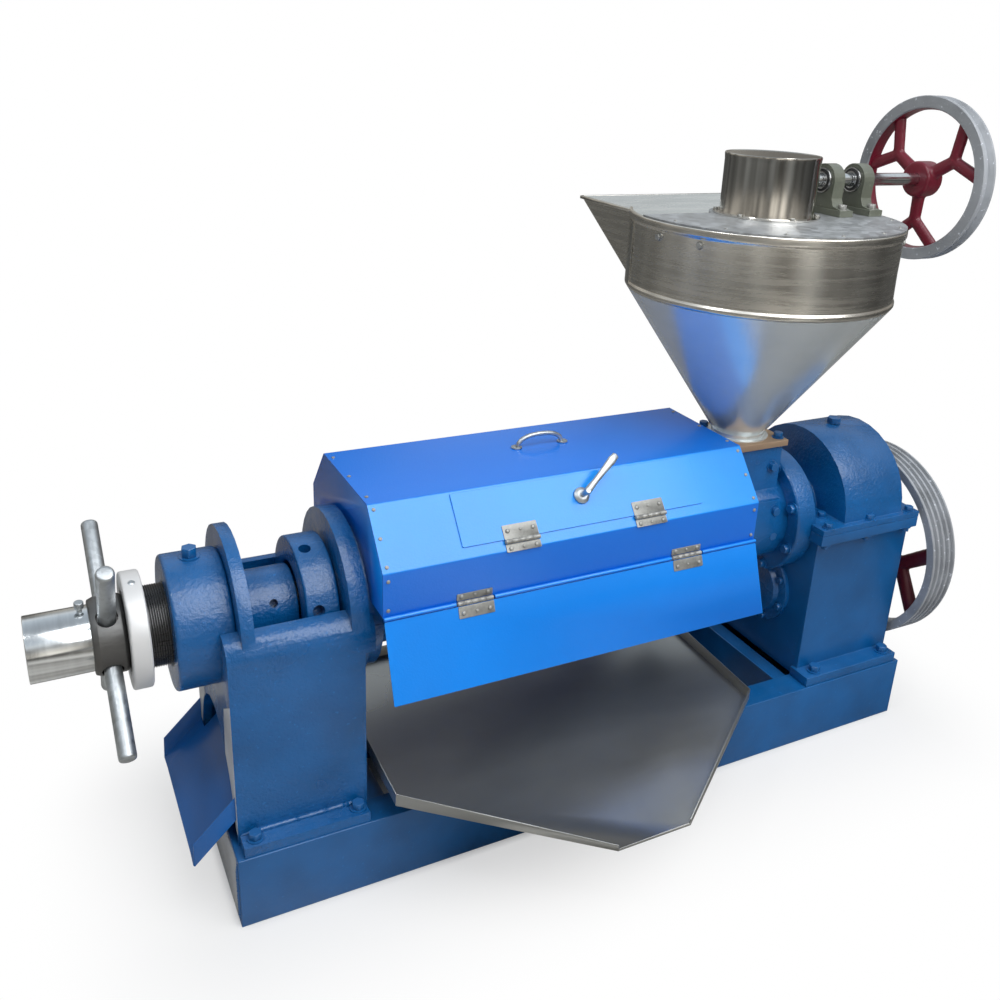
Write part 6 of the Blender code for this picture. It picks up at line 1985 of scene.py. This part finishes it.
@dataclass
class Studio:
    """Pale floor, soft lamps and a plain bright world."""

    ambient: float = 0.12
    sky: float = 0.34
    under: Pair = (0.80, 0.19)
    centre: tuple[float, float, float] = (0.75, -0.05, 0.6)
    bright_side: tuple[float, float, float] = (-0.19, -0.98, 0.0)
    dark_side: tuple[float, float, float] = (0.93, -0.37, 0.0)

    def lamp(self, name: str, place: Sequence[float], size: float, power: float,
             mirrored: bool = True) -> None:
        """Add one soft square lamp aimed at the press.

        Args:
            name: the lamp's name.
            place: its centre.
            size: its side.
            power: its power in watts.
            mirrored: whether it shows in polished faces.
        """
        data = bpy.data.lights.new(name, "AREA")
        data.shape = "SQUARE"
        data.size = size
        data.energy = power
        lamp = place_object(name, data)
        lamp.location = place
        lamp.visible_glossy = mirrored
        aim = Vector(self.centre) - Vector(place)
        lamp.rotation_euler = aim.to_track_quat("-Z", "Y").to_euler()

    def aspect(self, graph: Graph, way: bpy.types.NodeSocket, gain: float) -> bpy.types.NodeSocket:
        """Factor that is high straight ahead of the press and low to its right.

        Args:
            graph: the graph to add to.
            way: direction away from the press.
            gain: how much brighter it is straight ahead.

        Returns:
            The factor, about one elsewhere.
        """
        ahead, right = (graph.add("VectorMath", {0: way, 1: side}, operation="DOT_PRODUCT").outputs["Value"]
                        for side in (self.bright_side, self.dark_side))
        lit = graph.lift(1.0, graph.ramp(ahead, 0.88, 1.0), gain)
        dim = graph.math("MULTIPLY", graph.ramp(right, 0.72, 1.0), 0.6)
        return graph.math("SUBTRACT", lit, dim)

    def build_floor(self) -> None:
        """Wide pale floor that keeps the soft shadow."""
        bm = bmesh.new()
        bmesh.ops.create_grid(bm, x_segments=1, y_segments=1, size=30.0)
        floor = add_piece("floor", bm)
        floor.location = (0.825, 0.0, -0.0005)
        skin = bpy.data.materials.new("pale_floor")
        skin.use_nodes = True
        graph = Graph(skin.node_tree)
        shader = skin.node_tree.nodes["Principled BSDF"]
        shader.inputs["Roughness"].default_value = 0.9
        shader.inputs["Specular IOR Level"].default_value = 0.0
        glow = graph.add("Emission", {"Color": (1, 1, 1, 1), "Strength": 1.0})
        path = graph.add("LightPath")
        place = graph.add("TexCoord").outputs["Object"]
        bearing = graph.add("VectorMath", {0: place}, operation="NORMALIZE").outputs[0]
        yard = graph.ramp(graph.noise(2.1, 2.0, 0.50, bearing), 0.38, 0.62)
        mirrored = graph.blend(yard, (0.130, 0.120, 0.105), (0.78, 0.75, 0.70))
        # In reflections the floor is brighter straight ahead of the press and darker to its right: a
        # painted pool of light that shapes the highlights on polished pieces
        mirrored = graph.add("VectorMath", {0: mirrored, "Scale": self.aspect(graph, bearing, 0.45)},
                             operation="SCALE").outputs[0]
        colour = graph.blend(path.outputs["Is Glossy Ray"], (0.76, 0.76, 0.76), mirrored)
        graph.join(colour, shader.inputs["Base Color"])
        apart = graph.add("SeparateXYZ", {0: place})
        aside = []
        for axis, reach in enumerate(self.under):
            offset = graph.math("ABSOLUTE", apart.outputs[axis])
            aside.append(graph.math("MAXIMUM", graph.math("SUBTRACT", offset, reach)))
        corner = graph.add("CombineXYZ", {0: aside[0], 1: aside[1]}).outputs[0]
        away = graph.add("VectorMath", {0: corner}, operation="LENGTH").outputs["Value"]
        beside = graph.ramp(away, 0.0, 0.04)
        spread = {"Value": away, "From Min": 0.0, "From Max": 0.38, "To Min": 0.58, "To Max": 1.0}
        far = graph.add("MapRange", spread, clamp=True, interpolation_type="SMOOTHSTEP").outputs[0]
        shown = path.outputs["Is Camera Ray"]
        share = graph.math("MULTIPLY", shown, graph.math("MULTIPLY", beside, far))
        mix = graph.add("MixShader", {0: share, 1: shader.outputs[0], 2: glow.outputs[0]})
        graph.join(mix.outputs[0], skin.node_tree.nodes["Material Output"].inputs["Surface"])
        floor.data.materials.append(skin)

    def build_world(self) -> None:
        """White world for the eye and for reflections, dimmer as a lamp."""
        world = bpy.data.worlds.new("studio")
        bpy.context.scene.world = world
        world.use_nodes = True
        graph = Graph(world.node_tree)
        back = world.node_tree.nodes["Background"]
        path = graph.add("LightPath")
        seen, through = path.outputs["Is Camera Ray"], path.outputs["Is Transmission Ray"]
        shown = graph.math("MAXIMUM", seen, through)
        glossy = path.outputs["Is Glossy Ray"]
        way = graph.add("TexCoord").outputs["Generated"]
        apart = graph.add("SeparateXYZ", {0: way})
        height = apart.outputs[2]
        side = graph.lift(0.4, graph.ramp(apart.outputs[0], -0.9, 0.1), 0.6)
        walls = graph.add("VectorMath", {0: way, 1: (3.2, 3.2, 0.5)}, operation="MULTIPLY").outputs[0]
        posts = graph.ramp(graph.noise(1.0, 3.0, 0.55, walls), 0.40, 0.58)
        skyline = graph.ramp(height, 0.38, 0.58)
        roof = graph.math("SUBTRACT", 0.90, graph.math("MULTIPLY", graph.ramp(height, 0.55, 1.0), 0.40))
        low = graph.math("MULTIPLY", graph.lift(0.12, posts, 0.42), self.aspect(graph, way, 1.9))
        mirrored = graph.lift(low, skyline, graph.math("SUBTRACT", roof, low))
        rest = graph.lift(self.ambient, graph.ramp(height, 0.0, 0.9), self.sky)
        rest = graph.math("MULTIPLY", rest, side)
        lamp = graph.math("ADD", graph.math("MULTIPLY", mirrored, glossy),
                          graph.math("MULTIPLY", graph.math("SUBTRACT", 1.0, glossy), rest))
        strength = graph.math("MAXIMUM", shown, lamp)
        tint = graph.blend(graph.ramp(height, 0.15, 0.75), (0.98, 0.93, 0.84), (0.80, 0.90, 1.0))
        colour = graph.blend(shown, tint, (1.0, 1.0, 1.0))
        graph.join(colour, back.inputs["Color"])
        graph.join(strength, back.inputs["Strength"])

    def build(self) -> None:
        """Build the studio."""
        self.build_world()
        self.build_floor()
        self.lamp("key", (1.3, -2.0, 3.5), 3.4, 140.0)
        self.lamp("fill", (-2.6, -2.0, 2.2), 2.4, 2.5, mirrored=False)
        self.lamp("spark", (-1.3, -0.7, 3.2), 0.45, 13.0)
        self.lamp("back", (1.2, 2.6, 3.4), 1.8, 26.0, mirrored=False)
        bpy.context.scene.view_settings.view_transform = "Standard"


def main() -> None:
    """Build every sub-assembly, the studio and the camera."""
    logging.basicConfig(level=logging.INFO, format="%(message)s")
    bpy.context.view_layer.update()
    build_effects()
    for assembly in (ChannelFrame(), CakeCage(), AdjustingGear(), PressingLine(), Hopper(), DriveTrain(),
                     GuardCover(), Studio(), PhotoCamera()):
        LOG.info("building %s", type(assembly).__name__)
        assembly.build()


if __name__ == "__main__":
    main()
